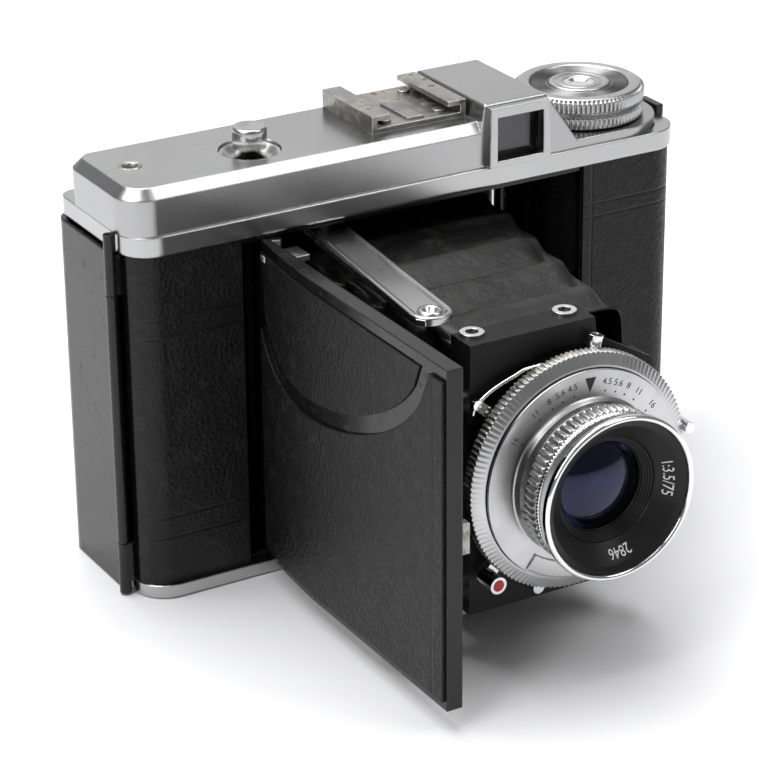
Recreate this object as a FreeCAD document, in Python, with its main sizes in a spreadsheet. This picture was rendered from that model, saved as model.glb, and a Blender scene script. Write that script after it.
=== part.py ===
import FreeCAD, Part
import math
import os
import re

import Sketcher
from FreeCAD import Placement, Rotation, Vector

# Compact folding camera for 6 x 6 cm roll film, front door open and lens erected.
# +X is to the right seen from the front, the lens looks along -Y, +Z is up.
# The origin is the mouth of the tripod bush in the base plate.

SIZES = {
    "body_width": 123.0,          # over the leather of both film chambers
    "front_depth": 14.0,          # front face to the spool axes
    "back_depth": 17.5,           # spool axes to the outside of the back
    "base_thick": 2.9,
    "band_low": 71.0,             # underside of the bright band
    "band_thick": 4.2,
    "cover_rise": 9.1,            # top cover above the band
    "hump_rise": 3.7,             # finder housing above the cover
    "platform_rise": 1.8,         # winding platform above the band
    "sheet_thick": 0.9,
    "leather_thick": 0.8,
    "casting_wall": 1.2,
    "corner_round": 6.0,
    "rear_round": 4.0,
    "end_inset": 15.3,            # spool axis from the end of the body
    "flange_radius": 12.5,        # film spool
    "chamber_radius": 12.95,
    "spool_core": 4.6,
    "gate_half": 28.0,            # 56 mm picture
    "lens_height": 36.9,
    "door_width": 71.4,           # hinge to free edge
    "door_skin": 1.2,
    "door_lip": 3.2,
    "door_low": 4.3,
    "hinge_side": 31.4,           # hinge axis left of the lens
    "hinge_ahead": 0.2,           # hinge axis ahead of the front face
    "door_offset": 5.4,           # hinge axis to the outer skin of the door
    "hinge_radius": 1.15,
    "fold_travel": 68.0,
    "rail_travel": 23.0,
    "standard_half": 19.8,
    "standard_low": 9.8,
    "standard_high": 64.0,
    "standard_ahead": 51.5,       # front of the lens board ahead of the body
    "board_thick": 1.2,
    "flange_depth": 5.4,
    "ring_radius": 23.4,
    "dial_radius": 20.7,
    "barrel_radius": 15.4,
    "bezel_radius": 16.1,
    "glass_radius": 8.6,
    "knob_radius": 13.2,
    "knob_height": 6.2,
    "shoe_width": 21.0,
    "shoe_slot": 18.6,
    "shoe_length": 19.6,
    "button_radius": 3.35,
    "button_x": -30.7,
    "button_y": -3.4,
    "well_radius": 6.1,
    "cable_x": -54.2,
    "end_sweep": 12.6,            # round of the cover's knob end, seen from above
    "shoulder_low": 53.0,         # where the lens board's cut shoulder meets its right side
    "shoulder_x": 6.8,
    "strut_length": 48.7,
    "strut_thick": 1.2,
    "pin_fit": 0.05,              # radial clearance of a turning pin
    "film_gap": 0.6,
}

DERIVED = {
    "door_high": "band_low - 0.3",
    "body_half": "body_width / 2",
    "front_face": "-front_depth",
    "rear_face": "back_depth",
    "spool_side": "body_width / 2 - end_inset",
    "opening_half": "body_width / 2 - end_inset - 7.9",
    "room_half": "body_width / 2 - end_inset - chamber_radius - 1.1",
    "floor_top": "base_thick + casting_wall",
    "ceiling": "band_low - casting_wall",
    "band_top": "band_low + band_thick",
    "cover_top": "band_low + band_thick + cover_rise",
    "hump_top": "band_low + band_thick + cover_rise + hump_rise",
    "platform_top": "band_low + band_thick + platform_rise",
    "knob_top": "band_low + band_thick + platform_rise + 0.3 + knob_height",
    "gate_front": "9.6",
    "gate_rear": "11.2",
    "hinge_y": "-front_depth - hinge_ahead",
    "door_face": "-hinge_side - door_offset",
    "door_end": "-front_depth - hinge_ahead - door_width",
    "board_front": "-front_depth - standard_ahead",
    "board_rear": "-front_depth - standard_ahead + board_thick",
    "ring_front": "-front_depth - standard_ahead - 7.1",
    "bezel_front": "-front_depth - standard_ahead - 19.8",
    "link_x": "-hinge_side + (fold_travel - rail_travel) / 2",
    "link_y": "-front_depth - hinge_ahead - (fold_travel + rail_travel) / 2",
    "strut_x": "-18.0",
    "strut_y": "-front_depth + 6.0",
    "back_hinge_x": "-body_width / 2 - 1.4",
    "back_hinge_y": "-front_depth + 6.0",
}

ALIASES = sorted(list(SIZES) + list(DERIVED), key=len, reverse=True)
WORD = re.compile(r"\b(" + "|".join(ALIASES) + r")\b")

doc = FreeCAD.newDocument("folding_camera")
sheet = doc.addObject("Spreadsheet::Sheet", "sizes")


def fill_sheet():
    rows = list(SIZES.items()) + [(k, "=" + v) for k, v in DERIVED.items()]
    for row, (name, value) in enumerate(rows, start=1):
        sheet.set("A%d" % row, name)
        sheet.set("B%d" % row, str(value))
        sheet.setAlias("B%d" % row, name)
    doc.recompute()


class Sheet:
    """Reads one size from the spreadsheet as a number."""

    def __getattr__(self, name):
        return float(sheet.get(name))


V = Sheet()
NODES = []


def bound(text):
    return WORD.sub(r"sizes.\1", text)


def keep(item, label):
    item.Label = label
    NODES.append(item)
    return item


def box(name, x, y, z):
    """A block between pairs of formulas on the three axes."""
    item = doc.addObject("Part::Box", name)
    for side, (low, high) in zip(("Length", "Width", "Height"), (x, y, z)):
        item.setExpression(side, bound("(%s) - (%s)" % (high, low)))
    for axis, (low, _) in zip("xyz", (x, y, z)):
        item.setExpression("Placement.Base." + axis, bound(low))
    return item


TURN = {
    "x": Rotation(Vector(0, 1, 0), 90),
    "y": Rotation(Vector(1, 0, 0), -90),
    "z": Rotation(),
}


def rod(name, axis, radius, centre, low, high, front_radius=None):
    """A cylinder, or a cone when front_radius is given, from low to high along an axis."""
    kind = "Part::Cone" if front_radius else "Part::Cylinder"
    item = doc.addObject(kind, name)
    item.Placement = Placement(Vector(), TURN[axis])
    if front_radius:
        item.setExpression("Radius1", bound(front_radius))
        item.setExpression("Radius2", bound(radius))
    else:
        item.setExpression("Radius", bound(radius))
    item.setExpression("Height", bound("(%s) - (%s)" % (high, low)))
    others = [a for a in "xyz" if a != axis]
    item.setExpression("Placement.Base." + axis, bound(low))
    for other, place in zip(others, centre):
        item.setExpression("Placement.Base." + other, bound(place))
    return item


def join(name, items):
    item = doc.addObject("Part::MultiFuse", name)
    item.Shapes = items
    return item


def cut(name, base, tools):
    item = doc.addObject("Part::Cut", name)
    item.Base = base
    item.Tool = tools[0] if len(tools) == 1 else join(name + "_tools", tools)
    return item


def ring(name, axis, outer, inner, centre, low, high):
    return cut(name, rod(name + "_outer", axis, outer, centre, low, high),
               [rod(name + "_bore", axis, inner, centre, "(%s) - 1" % low, "(%s) + 1" % high)])


def plate(name, plane, outline, low, high, holes=()):
    """A padded plate: a polygon outline with round holes, between two levels."""
    body = doc.addObject("PartDesign::Body", name)
    sketch = body.newObject("Sketcher::SketchObject", name + "_sketch")
    origin = [o for o in body.Origin.OriginFeatures if o.Role == plane][0]
    sketch.AttachmentSupport = [(origin, "")]
    sketch.MapMode = "FlatFace"
    level = low if plane == "XY_Plane" else "-(%s)" % high
    sketch.setExpression("AttachmentOffset.Base.z", bound(level))
    count = len(outline)
    start = [Vector(10 * math.cos(-6.28 * k / count), 10 * math.sin(-6.28 * k / count), 0)
             for k in range(count)]
    for k in range(count):
        sketch.addGeometry(Part.LineSegment(start[k], start[(k + 1) % count]))
    for k in range(count):
        sketch.addConstraint(Sketcher.Constraint("Coincident", k, 2, (k + 1) % count, 1))
    for k, (px, py) in enumerate(outline):
        pin_point(sketch, k, 1, px, py)
    for k, (px, py, radius) in enumerate(holes):
        sketch.addGeometry(Part.Circle(Vector(0, 0, 0), Vector(0, 0, 1), 1))
        pin_point(sketch, count + k, 3, px, py)
        row = sketch.addConstraint(Sketcher.Constraint("Radius", count + k, 1.0))
        sketch.setExpression("Constraints[%d]" % row, bound(radius))
    pad = body.newObject("PartDesign::Pad", name + "_pad")
    pad.Profile = sketch
    pad.setExpression("Length", bound("(%s) - (%s)" % (high, low)))
    return body


def pin_point(sketch, geometry, point, px, py):
    for kind, place in (("DistanceX", px), ("DistanceY", py)):
        row = sketch.addConstraint(Sketcher.Constraint(kind, -1, 1, geometry, point, 1.0))
        sketch.setExpression("Constraints[%d]" % row, bound(place))


def solid(name, shape):
    item = doc.addObject("Part::Feature", name)
    item.Shape = shape
    return item


def block(x0, x1, y0, y1, z0, z1):
    return Part.makeBox(x1 - x0, y1 - y0, z1 - z0, Vector(x0, y0, z0))


def round_block(x0, x1, y0, y1, z0, z1, front_round, rear_round):
    """A block with its upright edges rounded, front and rear apart."""
    shape = block(x0, x1, y0, y1, z0, z1)
    front, rear = [], []
    for edge in shape.Edges:
        a, b = edge.Vertexes[0].Point, edge.Vertexes[1].Point
        if abs(a.x - b.x) < 1e-6 and abs(a.y - b.y) < 1e-6:
            (front if a.y < (y0 + y1) / 2 else rear).append(edge)
    shape = shape.makeFillet(front_round, front)
    rear = [e for e in shape.Edges if len(e.Vertexes) == 2
            and e.Vertexes[0].Point.y > y1 - 1e-4 and e.Vertexes[1].Point.y > y1 - 1e-4
            and abs(e.Vertexes[0].Point.z - e.Vertexes[1].Point.z) > 1
            and abs(abs(e.Vertexes[0].Point.x - (x0 + x1) / 2) - (x1 - x0) / 2) < 1e-4]
    return shape.makeFillet(rear_round, rear)


def prism_y(points, y0, y1):
    """A polygon in X and Z carried along Y."""
    wire = Part.makePolygon([Vector(px, y0, pz) for px, pz in points + points[:1]])
    return Part.Face(wire).extrude(Vector(0, y1 - y0, 0))


def prism_z(points, z0, z1):
    """A polygon in X and Y carried along Z."""
    wire = Part.makePolygon([Vector(px, py, z0) for px, py in points + points[:1]])
    return Part.Face(wire).extrude(Vector(0, 0, z1 - z0))


def knurled(radius, depth, teeth, place, length, direction):
    """A round bar with straight teeth along its length."""
    side = Vector(0, 1, 0) if abs(direction.y) < 0.5 else Vector(1, 0, 0)
    across = direction.cross(side)
    points = []
    for k in range(2 * teeth):
        angle = math.pi * k / teeth
        reach = radius - depth * (k % 2)
        points.append(place + side * (reach * math.cos(angle)) + across * (reach * math.sin(angle)))
    face = Part.Face(Part.makePolygon(points + points[:1]))
    return face.extrude(direction * length)


# ---------------------------------------------------------------- body shell

def film_rooms(grow):
    """The two film chambers with the straight part behind each spool."""
    rooms = []
    low, high = V.floor_top - grow, V.ceiling + grow
    radius = V.chamber_radius + grow
    for side in (-1, 1):
        middle = side * V.spool_side
        rooms.append(Part.makeCylinder(radius, high - low, Vector(middle, 0, low)))
        rooms.append(block(middle - radius, middle + radius, 0, V.rear_face, low, high))
    return rooms


def make_casting():
    front = V.front_face + V.leather_thick
    rear = V.rear_face - 1.6
    half = V.body_half - V.leather_thick
    shape = round_block(-half, half, front, rear, V.base_thick, V.band_low,
                        V.corner_round - V.leather_thick, 2.0)
    low, high = V.floor_top, V.ceiling
    mouth = block(-V.opening_half, V.opening_half, front - 1, V.gate_front, low, high)
    wide = block(-V.body_width, V.body_width, front - 2, V.rear_face, low - 9, high + 9)
    walls = [r.common(wide) for r in film_rooms(1.0)]
    mouth = mouth.cut(walls[0].fuse(walls[1:]))
    shape = shape.cut(mouth)
    shape = shape.cut(film_rooms(0.0)[0].fuse(film_rooms(0.0)[1:]))
    gate = V.gate_half
    shape = shape.cut(block(-gate, gate, 0, V.rear_face, V.lens_height - gate, V.lens_height + gate))
    shape = shape.cut(block(-33, 33, V.gate_rear, V.rear_face, low + 1.2, high - 1.2))
    edge = V.body_half - 2.9
    shape = shape.cut(block(edge, V.body_half, 4, V.rear_face, 0, V.band_low + 1))
    for side in (-1, 1):
        place = Vector(side * (V.room_half - 1.0), V.gate_rear - 1.7, low - 1)
        shape = shape.cut(Part.makeCylinder(2.3, high - low + 0.6, place + Vector(0, 0, 1.2)))
        shape = shape.cut(Part.makeCylinder(0.75, high - low + 2.4, place - Vector(0, 0, 0.0)))
    shape = shape.cut(block(V.link_x - 3.4, V.link_x + 3.4, V.gate_front - 1, V.gate_rear + 1,
                            V.standard_low - 2.2, V.standard_low + 1.4))
    shape = shape.cut(Part.makeCylinder(6.0, 3, Vector(0, 0, V.base_thick - 1)))
    for side in (-1, 1):
        shape = shape.cut(Part.makeCylinder(2.2, 4, Vector(side * V.spool_side, 0, V.ceiling - 1)))
        shape = shape.cut(Part.makeCylinder(1.55, 4, Vector(side * V.spool_side, 0, V.base_thick - 1)))
    return keep(solid("body_casting", shape.removeSplitter()), "body_casting")


def leather_wrap(side):
    """Leathercloth on one film chamber, round the outer corner."""
    outer = round_block(-V.body_half, V.body_half, V.front_face, V.rear_face,
                        V.base_thick, V.band_low, V.corner_round, 2.0)
    half = V.body_half - V.leather_thick
    inner = round_block(-half, half, V.front_face + V.leather_thick, V.rear_face + 1,
                        V.base_thick - 1, V.band_low + 1, V.corner_round - V.leather_thick, 2.0)
    sheet_shape = outer.cut(inner)
    reach = V.front_face + 3.4 if side < 0 else V.front_face + 17.6
    near, far = V.opening_half + 0.1, V.body_width
    x0, x1 = (-far, -near) if side < 0 else (near, far)
    keep_room = block(x0, x1, V.front_face - 1, reach, 0, V.band_low + 1)
    name = "leather_left" if side < 0 else "leather_right"
    return keep(solid(name, sheet_shape.common(keep_room)), name)


def make_band():
    half = V.body_half + 0.4
    outer = round_block(-half, half, V.front_face - 0.9, V.rear_face - 0.7, V.band_low,
                        V.band_top, V.corner_round + 0.8, 3.0)
    outer = outer.makeFillet(0.8, [e for e in outer.Edges
                                   if e.BoundBox.ZMax < V.band_low + 0.01
                                   and e.BoundBox.YMin < V.rear_face - 2])
    lip = half - 3.2
    inner = round_block(-lip, lip, V.front_face + 1.6, V.rear_face - 4, V.band_low - 1,
                        V.band_top + 1, V.corner_round - 1, 1.0)
    shape = outer.cut(inner)
    notch = Part.makeCylinder(1.75, 20, Vector(V.back_hinge_x, V.back_hinge_y, V.band_low - 5))
    shape = shape.cut(notch)
    return keep(solid("top_band", shape), "top_band")


def cover_solid(inset):
    """The top housing as a solid, every wall drawn in by inset."""
    left, right = -V.body_half - 0.5 + inset, V.body_half - 0.6 - inset
    front, rear = V.front_face - 0.4 + inset, V.front_face + 26.5 - inset
    low, top = V.band_top, V.cover_top - inset
    shape = round_block(left, right, front, rear, low, top, V.corner_round - inset, 4.5 - inset)
    sweep = V.end_sweep - inset
    corner = block(right - sweep, right + 5, front - 5, front + sweep, low - 1, top + 1)
    corner = corner.cut(Part.makeCylinder(sweep, 60, Vector(right - sweep, front + sweep, low - 9)))
    shape = shape.cut(corner)
    rim = [e for e in shape.Edges if e.BoundBox.ZMin > top - 1e-3]
    shape = shape.makeChamfer(1.9, rim)
    right_top = 28.7 - inset
    hump = prism_y([(12.9 + inset, low), (14.9 + inset, V.hump_top - inset),
                    (right_top, V.hump_top - inset), (36.4 - inset, V.platform_top - inset),
                    (36.4 - inset, low)], front, V.front_face + 25.2 - inset)
    peak = [e for e in hump.Edges if e.BoundBox.ZMin > V.hump_top - inset - 1e-3]
    hump = hump.makeFillet(0.7, peak)
    shape = shape.fuse(hump)
    far = V.body_width
    run = prism_y([(right_top, V.hump_top + 9), (right_top, V.hump_top - inset),
                   (36.4 - inset, V.platform_top - inset), (far, V.platform_top - inset),
                   (far, V.hump_top + 9)], front - 5, rear + 5)
    shape = shape.cut(run)
    room = V.knob_radius + 0.9 + inset
    shape = shape.cut(Part.makeCylinder(room, 30, Vector(V.spool_side, 0, V.platform_top - inset)))
    return shape


def make_cover():
    shape = cover_solid(0.0)
    hollow = cover_solid(V.sheet_thick)
    shape = shape.cut(hollow)
    x, y = V.button_x, V.button_y
    well = Part.makeCylinder(V.well_radius, 5, Vector(x, y, V.cover_top - 3))
    shape = shape.cut(well)
    shape = shape.cut(Part.makeCylinder(2.2, 9, Vector(V.cable_x, 0, V.cover_top - 5)))
    shape = shape.cut(Part.makeCylinder(2.6, 9, Vector(V.spool_side, 0, V.platform_top - 5)))
    window = block(16.7, 27.7, V.front_face - 5, V.front_face + 5, V.band_top + 1.0, V.band_top + 10.4)
    shape = shape.cut(window)
    shape = shape.cut(Part.makeCylinder(3.9, 9, Vector(22.2, V.front_face + 20, V.band_top + 5.6),
                                        Vector(0, 1, 0)))
    return keep(solid("top_cover", shape.removeSplitter()), "top_cover")


def make_finder():
    front, top = "front_face", "band_top"
    outline = [("15.1", top + " + 0.1"), ("29.2", top + " + 0.1"),
               ("28.7", "hump_top - 0.5"), ("15.5", "hump_top - 0.5")]
    frame = plate("finder_frame_plate", "XZ_Plane", outline, front + " - 2.0", front + " - 0.4")
    opening = box("finder_frame_hole", ("16.9", "27.5"), (front + " - 3", front + " + 1"),
                  (top + " + 1.3", top + " + 10.3"))
    keep(cut("finder_frame", frame, [opening]), "finder_frame")
    glass = box("finder_glass", ("16.8", "27.6"), (front + " + 0.6", front + " + 1.6"),
                (top + " + 1.1", top + " + 10.3"))
    keep(glass, "finder_glass")
    outer = box("finder_tunnel_outer", ("16.4", "28.0"), (front + " + 1.7", front + " + 21.5"),
                (top + " + 0.4", top + " + 10.9"))
    inner = box("finder_tunnel_inner", ("17.1", "27.3"), (front + " - 1", front + " + 30"),
                (top + " + 1.1", top + " + 10.2"))
    keep(cut("finder_tunnel", outer, [inner]), "finder_tunnel")
    eye = ("22.2", top + " + 5.6")
    keep(rod("eyepiece", "y", "3.85", eye, front + " + 22.0", front + " + 27.0"), "eyepiece_lens")


def make_shoe():
    left = "-7.0"
    right = "(-7.0 + shoe_width)"
    wall = "((shoe_width - shoe_slot) / 2)"
    outline = [
        (left, "cover_top"), (right, "cover_top"), (right, "cover_top + 3.6"),
        (right + " - 4.0", "cover_top + 3.6"), (right + " - 4.0", "cover_top + 2.6"),
        (right + " - " + wall, "cover_top + 2.6"), (right + " - " + wall, "cover_top + 1.1"),
        (left + " + " + wall, "cover_top + 1.1"), (left + " + " + wall, "cover_top + 2.6"),
        (left + " + 4.0", "cover_top + 2.6"), (left + " + 4.0", "cover_top + 3.6"),
        (left, "cover_top + 3.6")]
    shoe = plate("accessory_shoe", "XZ_Plane", outline, "front_face + 5.2",
                 "front_face + 5.2 + shoe_length")
    keep(shoe, "accessory_shoe")
    leaf = box("shoe_spring", ("1.6", "5.4"), ("front_face + 6.6", "front_face + 17.0"),
               ("cover_top + 1.1", "cover_top + 1.5"))
    keep(leaf, "shoe_spring")
    heads = []
    for k, (px, py) in enumerate((("-2.6", "8.2"), ("9.6", "8.2"), ("-2.6", "21.6"), ("9.6", "21.6"))):
        heads.append(rod("shoe_screw_%d" % k, "z", "1.3", (px, "front_face + " + py),
                         "cover_top + 1.1", "cover_top + 1.6"))
    keep(join("shoe_screws", heads), "shoe_screws")


def make_top_controls():
    centre = ("button_x", "button_y")
    cap = rod("release_cap", "z", "button_radius", centre, "cover_top + 1.3", "cover_top + 4.5")
    edge = rod("release_cap_edge", "z", "button_radius - 0.5", centre, "cover_top + 4.5",
               "cover_top + 4.7")
    stem = rod("release_stem", "z", "1.6", centre, "cover_top - 5.0", "cover_top + 1.3")
    keep(join("release_button", [cap, edge, stem]), "release_button")
    dish = Part.makeCylinder(V.well_radius - 0.05, 1.9, Vector(V.button_x, V.button_y, V.cover_top - 2.3))
    dish = dish.cut(Part.makeCone(3.4, 5.9, 1.4, Vector(V.button_x, V.button_y, V.cover_top - 1.6)))
    dish = dish.cut(Part.makeCylinder(1.6 + V.pin_fit, 9, Vector(V.button_x, V.button_y, V.cover_top - 6)))
    keep(solid("button_dish", dish), "button_dish")
    socket = ring("cable_socket_ring", "z", "2.15", "1.3", ("cable_x", "0"), "cover_top - 4.0",
                  "cover_top + 0.15")
    keep(socket, "cable_socket")


def make_winding():
    centre = Vector(V.spool_side, 0, 0)
    low = V.platform_top + 0.3
    top = V.knob_top
    lower = knurled(V.knob_radius, 0.35, 72, centre + Vector(0, 0, low), 3.0, Vector(0, 0, 1))
    neck = Part.makeCylinder(V.knob_radius - 0.9, 0.9, centre + Vector(0, 0, low + 3.0))
    upper = knurled(V.knob_radius, 0.35, 72, centre + Vector(0, 0, low + 3.7), 1.7, Vector(0, 0, 1))
    rim = Part.makeCone(V.knob_radius - 0.3, V.knob_radius - 1.0, top - low - 5.4,
                        centre + Vector(0, 0, low + 5.4))
    shape = lower.fuse([neck, upper, rim])
    shape = shape.cut(Part.makeCylinder(10.0, 1.2, centre + Vector(0, 0, top - 0.9)))
    shape = shape.cut(Part.makeCylinder(2.0, 20, centre + Vector(0, 0, low - 2)))
    keep(solid("wind_knob", shape), "wind_knob")
    side = ("spool_side", "0")
    disc = rod("film_dial_disc", "z", "9.9", side, "knob_top - 0.9", "knob_top - 0.3")
    hub = rod("film_dial_hub", "z", "6.3", side, "knob_top - 0.3", "knob_top - 0.05")
    hole = rod("film_dial_hole", "z", "3.75", side, "knob_top - 2", "knob_top + 1")
    keep(cut("film_dial", join("film_dial_solid", [disc, hub]), [hole]), "film_dial")
    head = rod("knob_screw_head", "z", "3.7", side, "knob_top - 0.9", "knob_top - 0.2")
    dish = rod("knob_screw_dish", "z", "2.9", side, "knob_top - 0.6", "knob_top + 0.1", "1.6")
    screw = cut("knob_screw", head, [dish])
    shaft = rod("wind_shaft_round", "z", "1.5", side, "ceiling - 1.4", "knob_top - 0.9")
    blade = box("wind_shaft_key", ("spool_side - 3.4", "spool_side + 3.4"), ("-0.6", "0.6"),
                ("ceiling - 3.6", "ceiling - 1.4"))
    keep(join("wind_shaft_parts", [shaft, blade, screw]), "wind_shaft")


def make_film_path():
    side = ("spool_side", "0")
    low, high = "floor_top + 0.25", "ceiling - 0.9"
    core = rod("spool_core_rod", "z", "spool_core", side, low, high)
    flanges = [rod("spool_flange_low", "z", "flange_radius", side, low, low + " + 0.9"),
               rod("spool_flange_high", "z", "flange_radius", side, high + " - 0.9", high)]
    slots = [box("spool_key_slot", ("spool_side - 3.7", "spool_side + 3.7"), ("-0.9", "0.9"),
                 (high + " - 3.2", high + " + 1")),
             rod("spool_pin_hole", "z", "1.7", side, low + " - 1", low + " + 3.4"),
             rod("spool_top_hole", "z", "1.9", side, high + " - 3.2", high + " + 1"),
             box("spool_paper_slot", ("spool_side - 0.8", "spool_side + 0.8"), ("-9", "9"),
                 (low + " + 12", high + " - 12"))]
    keep(cut("take_up_spool", join("spool_solid", [core] + flanges), slots), "take_up_spool")
    pins = []
    for k, (mid, base, tip) in enumerate((("spool_side", "base_thick", "floor_top + 2.6"),
                                          ("-spool_side", "base_thick", "floor_top + 2.6"),
                                          ("-spool_side", "ceiling - 2.6", "band_low"))):
        pins.append(rod("spool_pin_%d" % k, "z", "1.5" if k != 2 else "2.1", (mid, "0"), base, tip))
    for name, low, high in (("upper", "(2 * lens_height - 6.8)", "ceiling"),
                            ("lower", "floor_top", "5.5 + strut_thick")):
        pins.append(rod("strut_post_" + name, "z", "1.5", ("strut_x", "strut_y"), low, high))
    keep(join("casting_pins_parts", pins), "casting_pins")
    for name, sign in (("film_roller_left", "-"), ("film_roller_right", "")):
        mid = (sign + "(room_half - 1.0)", "gate_rear - 1.7")
        barrel = rod(name + "_barrel", "z", "2.0", mid, "floor_top + 0.5", "ceiling - 0.7")
        pivot = rod(name + "_pivot", "z", "0.7", mid, "floor_top - 0.6", "ceiling + 0.6")
        keep(join(name, [barrel, pivot]), name)
    face = plate("pressure_face", "XZ_Plane",
                 [("-31", "lens_height - 30.5"), ("31", "lens_height - 30.5"),
                  ("31", "lens_height + 30.5"), ("-31", "lens_height + 30.5")],
                 "gate_rear + film_gap", "gate_rear + film_gap + 1.0",
                 [("28", "lens_height - 17", "4.0")])
    leaves = []
    back = V.rear_face - 1.2
    near = V.gate_rear + V.film_gap + 1.0
    for k, height in enumerate((V.lens_height - 4, V.lens_height + 22)):
        bow = [(-22, back), (-18, back), (-3, near + 0.5), (3, near + 0.5), (18, back), (22, back),
               (22, back - 0.5), (17.8, back - 0.5), (3, near), (-3, near), (-17.8, back - 0.5),
               (-22, back - 0.5)]
        leaves.append(prism_z(bow, height - 4, height + 4))
    springs = [solid("pressure_spring_%d" % k, leaf) for k, leaf in enumerate(leaves)]
    keep(join("pressure_parts", [face] + springs), "pressure_plate")


# ---------------------------------------------------------------- back and base

def make_back():
    half = V.body_half + 1.1
    inside = V.body_half + 0.1
    low, high = 0.2, V.band_low - 0.2
    shape = round_block(-half, half - 0.2, V.front_face - 5, V.rear_face, low, high, 1.0, V.rear_round)
    hollow = round_block(-inside, inside, V.front_face - 8, V.rear_face - 1.2, low - 2, high + 2,
                         1.0, V.rear_round - 1.2)
    shape = shape.cut(hollow)
    start = V.back_hinge_y + 1.4
    shape = shape.cut(block(-half - 1, 0, V.front_face - 9, start, -1, high + 1))
    shape = shape.cut(block(0, half + 1, V.front_face - 9, V.front_face + 18.6, -1, high + 1))
    shape = shape.cut(block(V.body_half - 8, half + 1, V.front_face - 9, V.rear_face - 1.3,
                            -1, V.base_thick + 0.3))
    leaf = block(-half, -inside, V.back_hinge_y - 0.1, start + 0.1, 11.4, 62.8)
    knuckle = Part.makeCylinder(V.hinge_radius, 62.8 - 11.4, Vector(V.back_hinge_x, V.back_hinge_y, 11.4))
    bore = Part.makeCylinder(0.6 + V.pin_fit, 90, Vector(V.back_hinge_x, V.back_hinge_y, -2))
    leaf = leaf.cut(Part.makeCylinder(V.hinge_radius, 80, Vector(V.back_hinge_x, V.back_hinge_y, 0)))
    shape = shape.fuse([leaf, knuckle]).cut(bore)
    hole = Part.makeCylinder(4.6, 9, Vector(28, V.rear_face - 5, V.lens_height - 17), Vector(0, 1, 0))
    shape = shape.cut(hole)
    keep(solid("back_door", shape.removeSplitter()), "back_door")
    skin = block(-V.body_half + 4.5, V.body_half - 4.5, V.rear_face, V.rear_face + 0.6, 3.2,
                 V.band_low - 3.2).cut(hole.translated(Vector(0, 3, 0)))
    corners = [e for e in skin.Edges if abs(e.BoundBox.YLength - 0.6) < 1e-6
               and abs(e.BoundBox.XLength) < 1e-6 and abs(e.BoundBox.ZLength) < 1e-6
               and abs(abs(e.BoundBox.XMin) - V.body_half + 4.5) < 1e-6]
    keep(solid("back_leather", skin.makeFillet(3.0, corners)), "back_leather")
    window = ("28", "lens_height - 17")
    pane = rod("red_window_glass", "y", "4.55", window, "rear_face - 1.1", "rear_face - 0.2")
    keep(pane, "red_window")
    place = ("lens_height - 17 - 7.5", "lens_height - 17 + 7.5")
    shell = box("window_frame_block", ("28 - 8", "28 + 16.6"), ("rear_face + 0.6", "rear_face + 2.4"),
                place)
    lane = box("window_frame_lane", ("28 - 6.4", "28 + 18"), ("rear_face + 0.5", "rear_face + 1.6"),
               ("lens_height - 17 - 6.1", "lens_height - 17 + 6.1"))
    view_hole = box("window_frame_view", ("28 - 4.6", "28 + 18"),
                    ("rear_face", "rear_face + 3"),
                    ("lens_height - 17 - 4.6", "lens_height - 17 + 4.6"))
    keep(cut("window_frame", shell, [lane, view_hole]), "window_frame")
    blade = box("window_cover_blade", ("28 - 6.2", "28 + 6.2"), ("rear_face + 0.7", "rear_face + 1.4"),
                ("lens_height - 17 - 5.9", "lens_height - 17 + 5.9"))
    tab = box("window_cover_tab", ("28 - 2.4", "28 + 2.4"), ("rear_face + 1.4", "rear_face + 2.9"),
              ("lens_height - 17 - 3.4", "lens_height - 17 + 3.4"))
    keep(join("window_cover", [blade, tab]), "window_cover")


def make_back_hinge():
    pieces = []
    for low, high in ((0.5, 11.2), (63.0, V.band_top - 0.2)):
        knuckle = Part.makeCylinder(V.hinge_radius, high - low,
                                    Vector(V.back_hinge_x, V.back_hinge_y, low))
        pieces.append(knuckle)
        top = min(high, V.band_low - 0.2)
        base = max(low, V.base_thick)
        pieces.append(block(V.back_hinge_x + 0.3, -V.body_half + V.leather_thick,
                            V.back_hinge_y - 1.1, V.back_hinge_y + 0.1, base, top))
    pin = Part.makeCylinder(0.6, V.band_top - 1.0, Vector(V.back_hinge_x, V.back_hinge_y, 0.6))
    shape = pieces[0].fuse(pieces[1:] + [pin])
    keep(solid("back_hinge", shape.removeSplitter()), "back_hinge")
    grip = box("back_latch_grip", ("body_half + 0.5", "body_half + 2.1"),
               ("front_face + 9.0", "front_face + 15.2"), ("band_low + 0.2", "band_top + 1.6"))
    groove = box("back_latch_groove", ("body_half + 1.5", "body_half + 3"),
                 ("front_face + 8", "front_face + 16"), ("band_low + 2.2", "band_low + 3.4"))
    keep(cut("back_latch", grip, [groove]), "back_latch")


def make_base():
    half = V.body_half
    shape = round_block(-half + 0.3, half + 0.2, V.front_face - 1.1, V.rear_face - 1.8, 0,
                        V.base_thick, V.corner_round + 1.0, 2.0)
    lower = [e for e in shape.Edges if e.BoundBox.ZMax < 0.01 and e.BoundBox.YMin < V.rear_face - 3]
    shape = shape.makeFillet(0.7, lower)
    shape = shape.cut(Part.makeCylinder(5.8, 9, Vector(0, 0, -1)))
    shape = shape.cut(Part.makeCylinder(1.9, 20, Vector(V.back_hinge_x, V.back_hinge_y, -5)))
    shape = shape.cut(block(V.body_half - 1.6, V.body_half + 3, V.front_face + 17.6, V.rear_face, -1, 9))
    keep(solid("base_plate", shape), "base_plate")
    bush = ring("tripod_bush_ring", "z", "5.8", "2.6", ("0", "0"), "0", "base_thick")
    collar = ring("tripod_bush_collar", "z", "5.9", "2.6", ("0", "0"), "base_thick", "base_thick + 1.0")
    keep(join("tripod_bush", [bush, collar]), "tripod_bush")


# ---------------------------------------------------------------- front door

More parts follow.
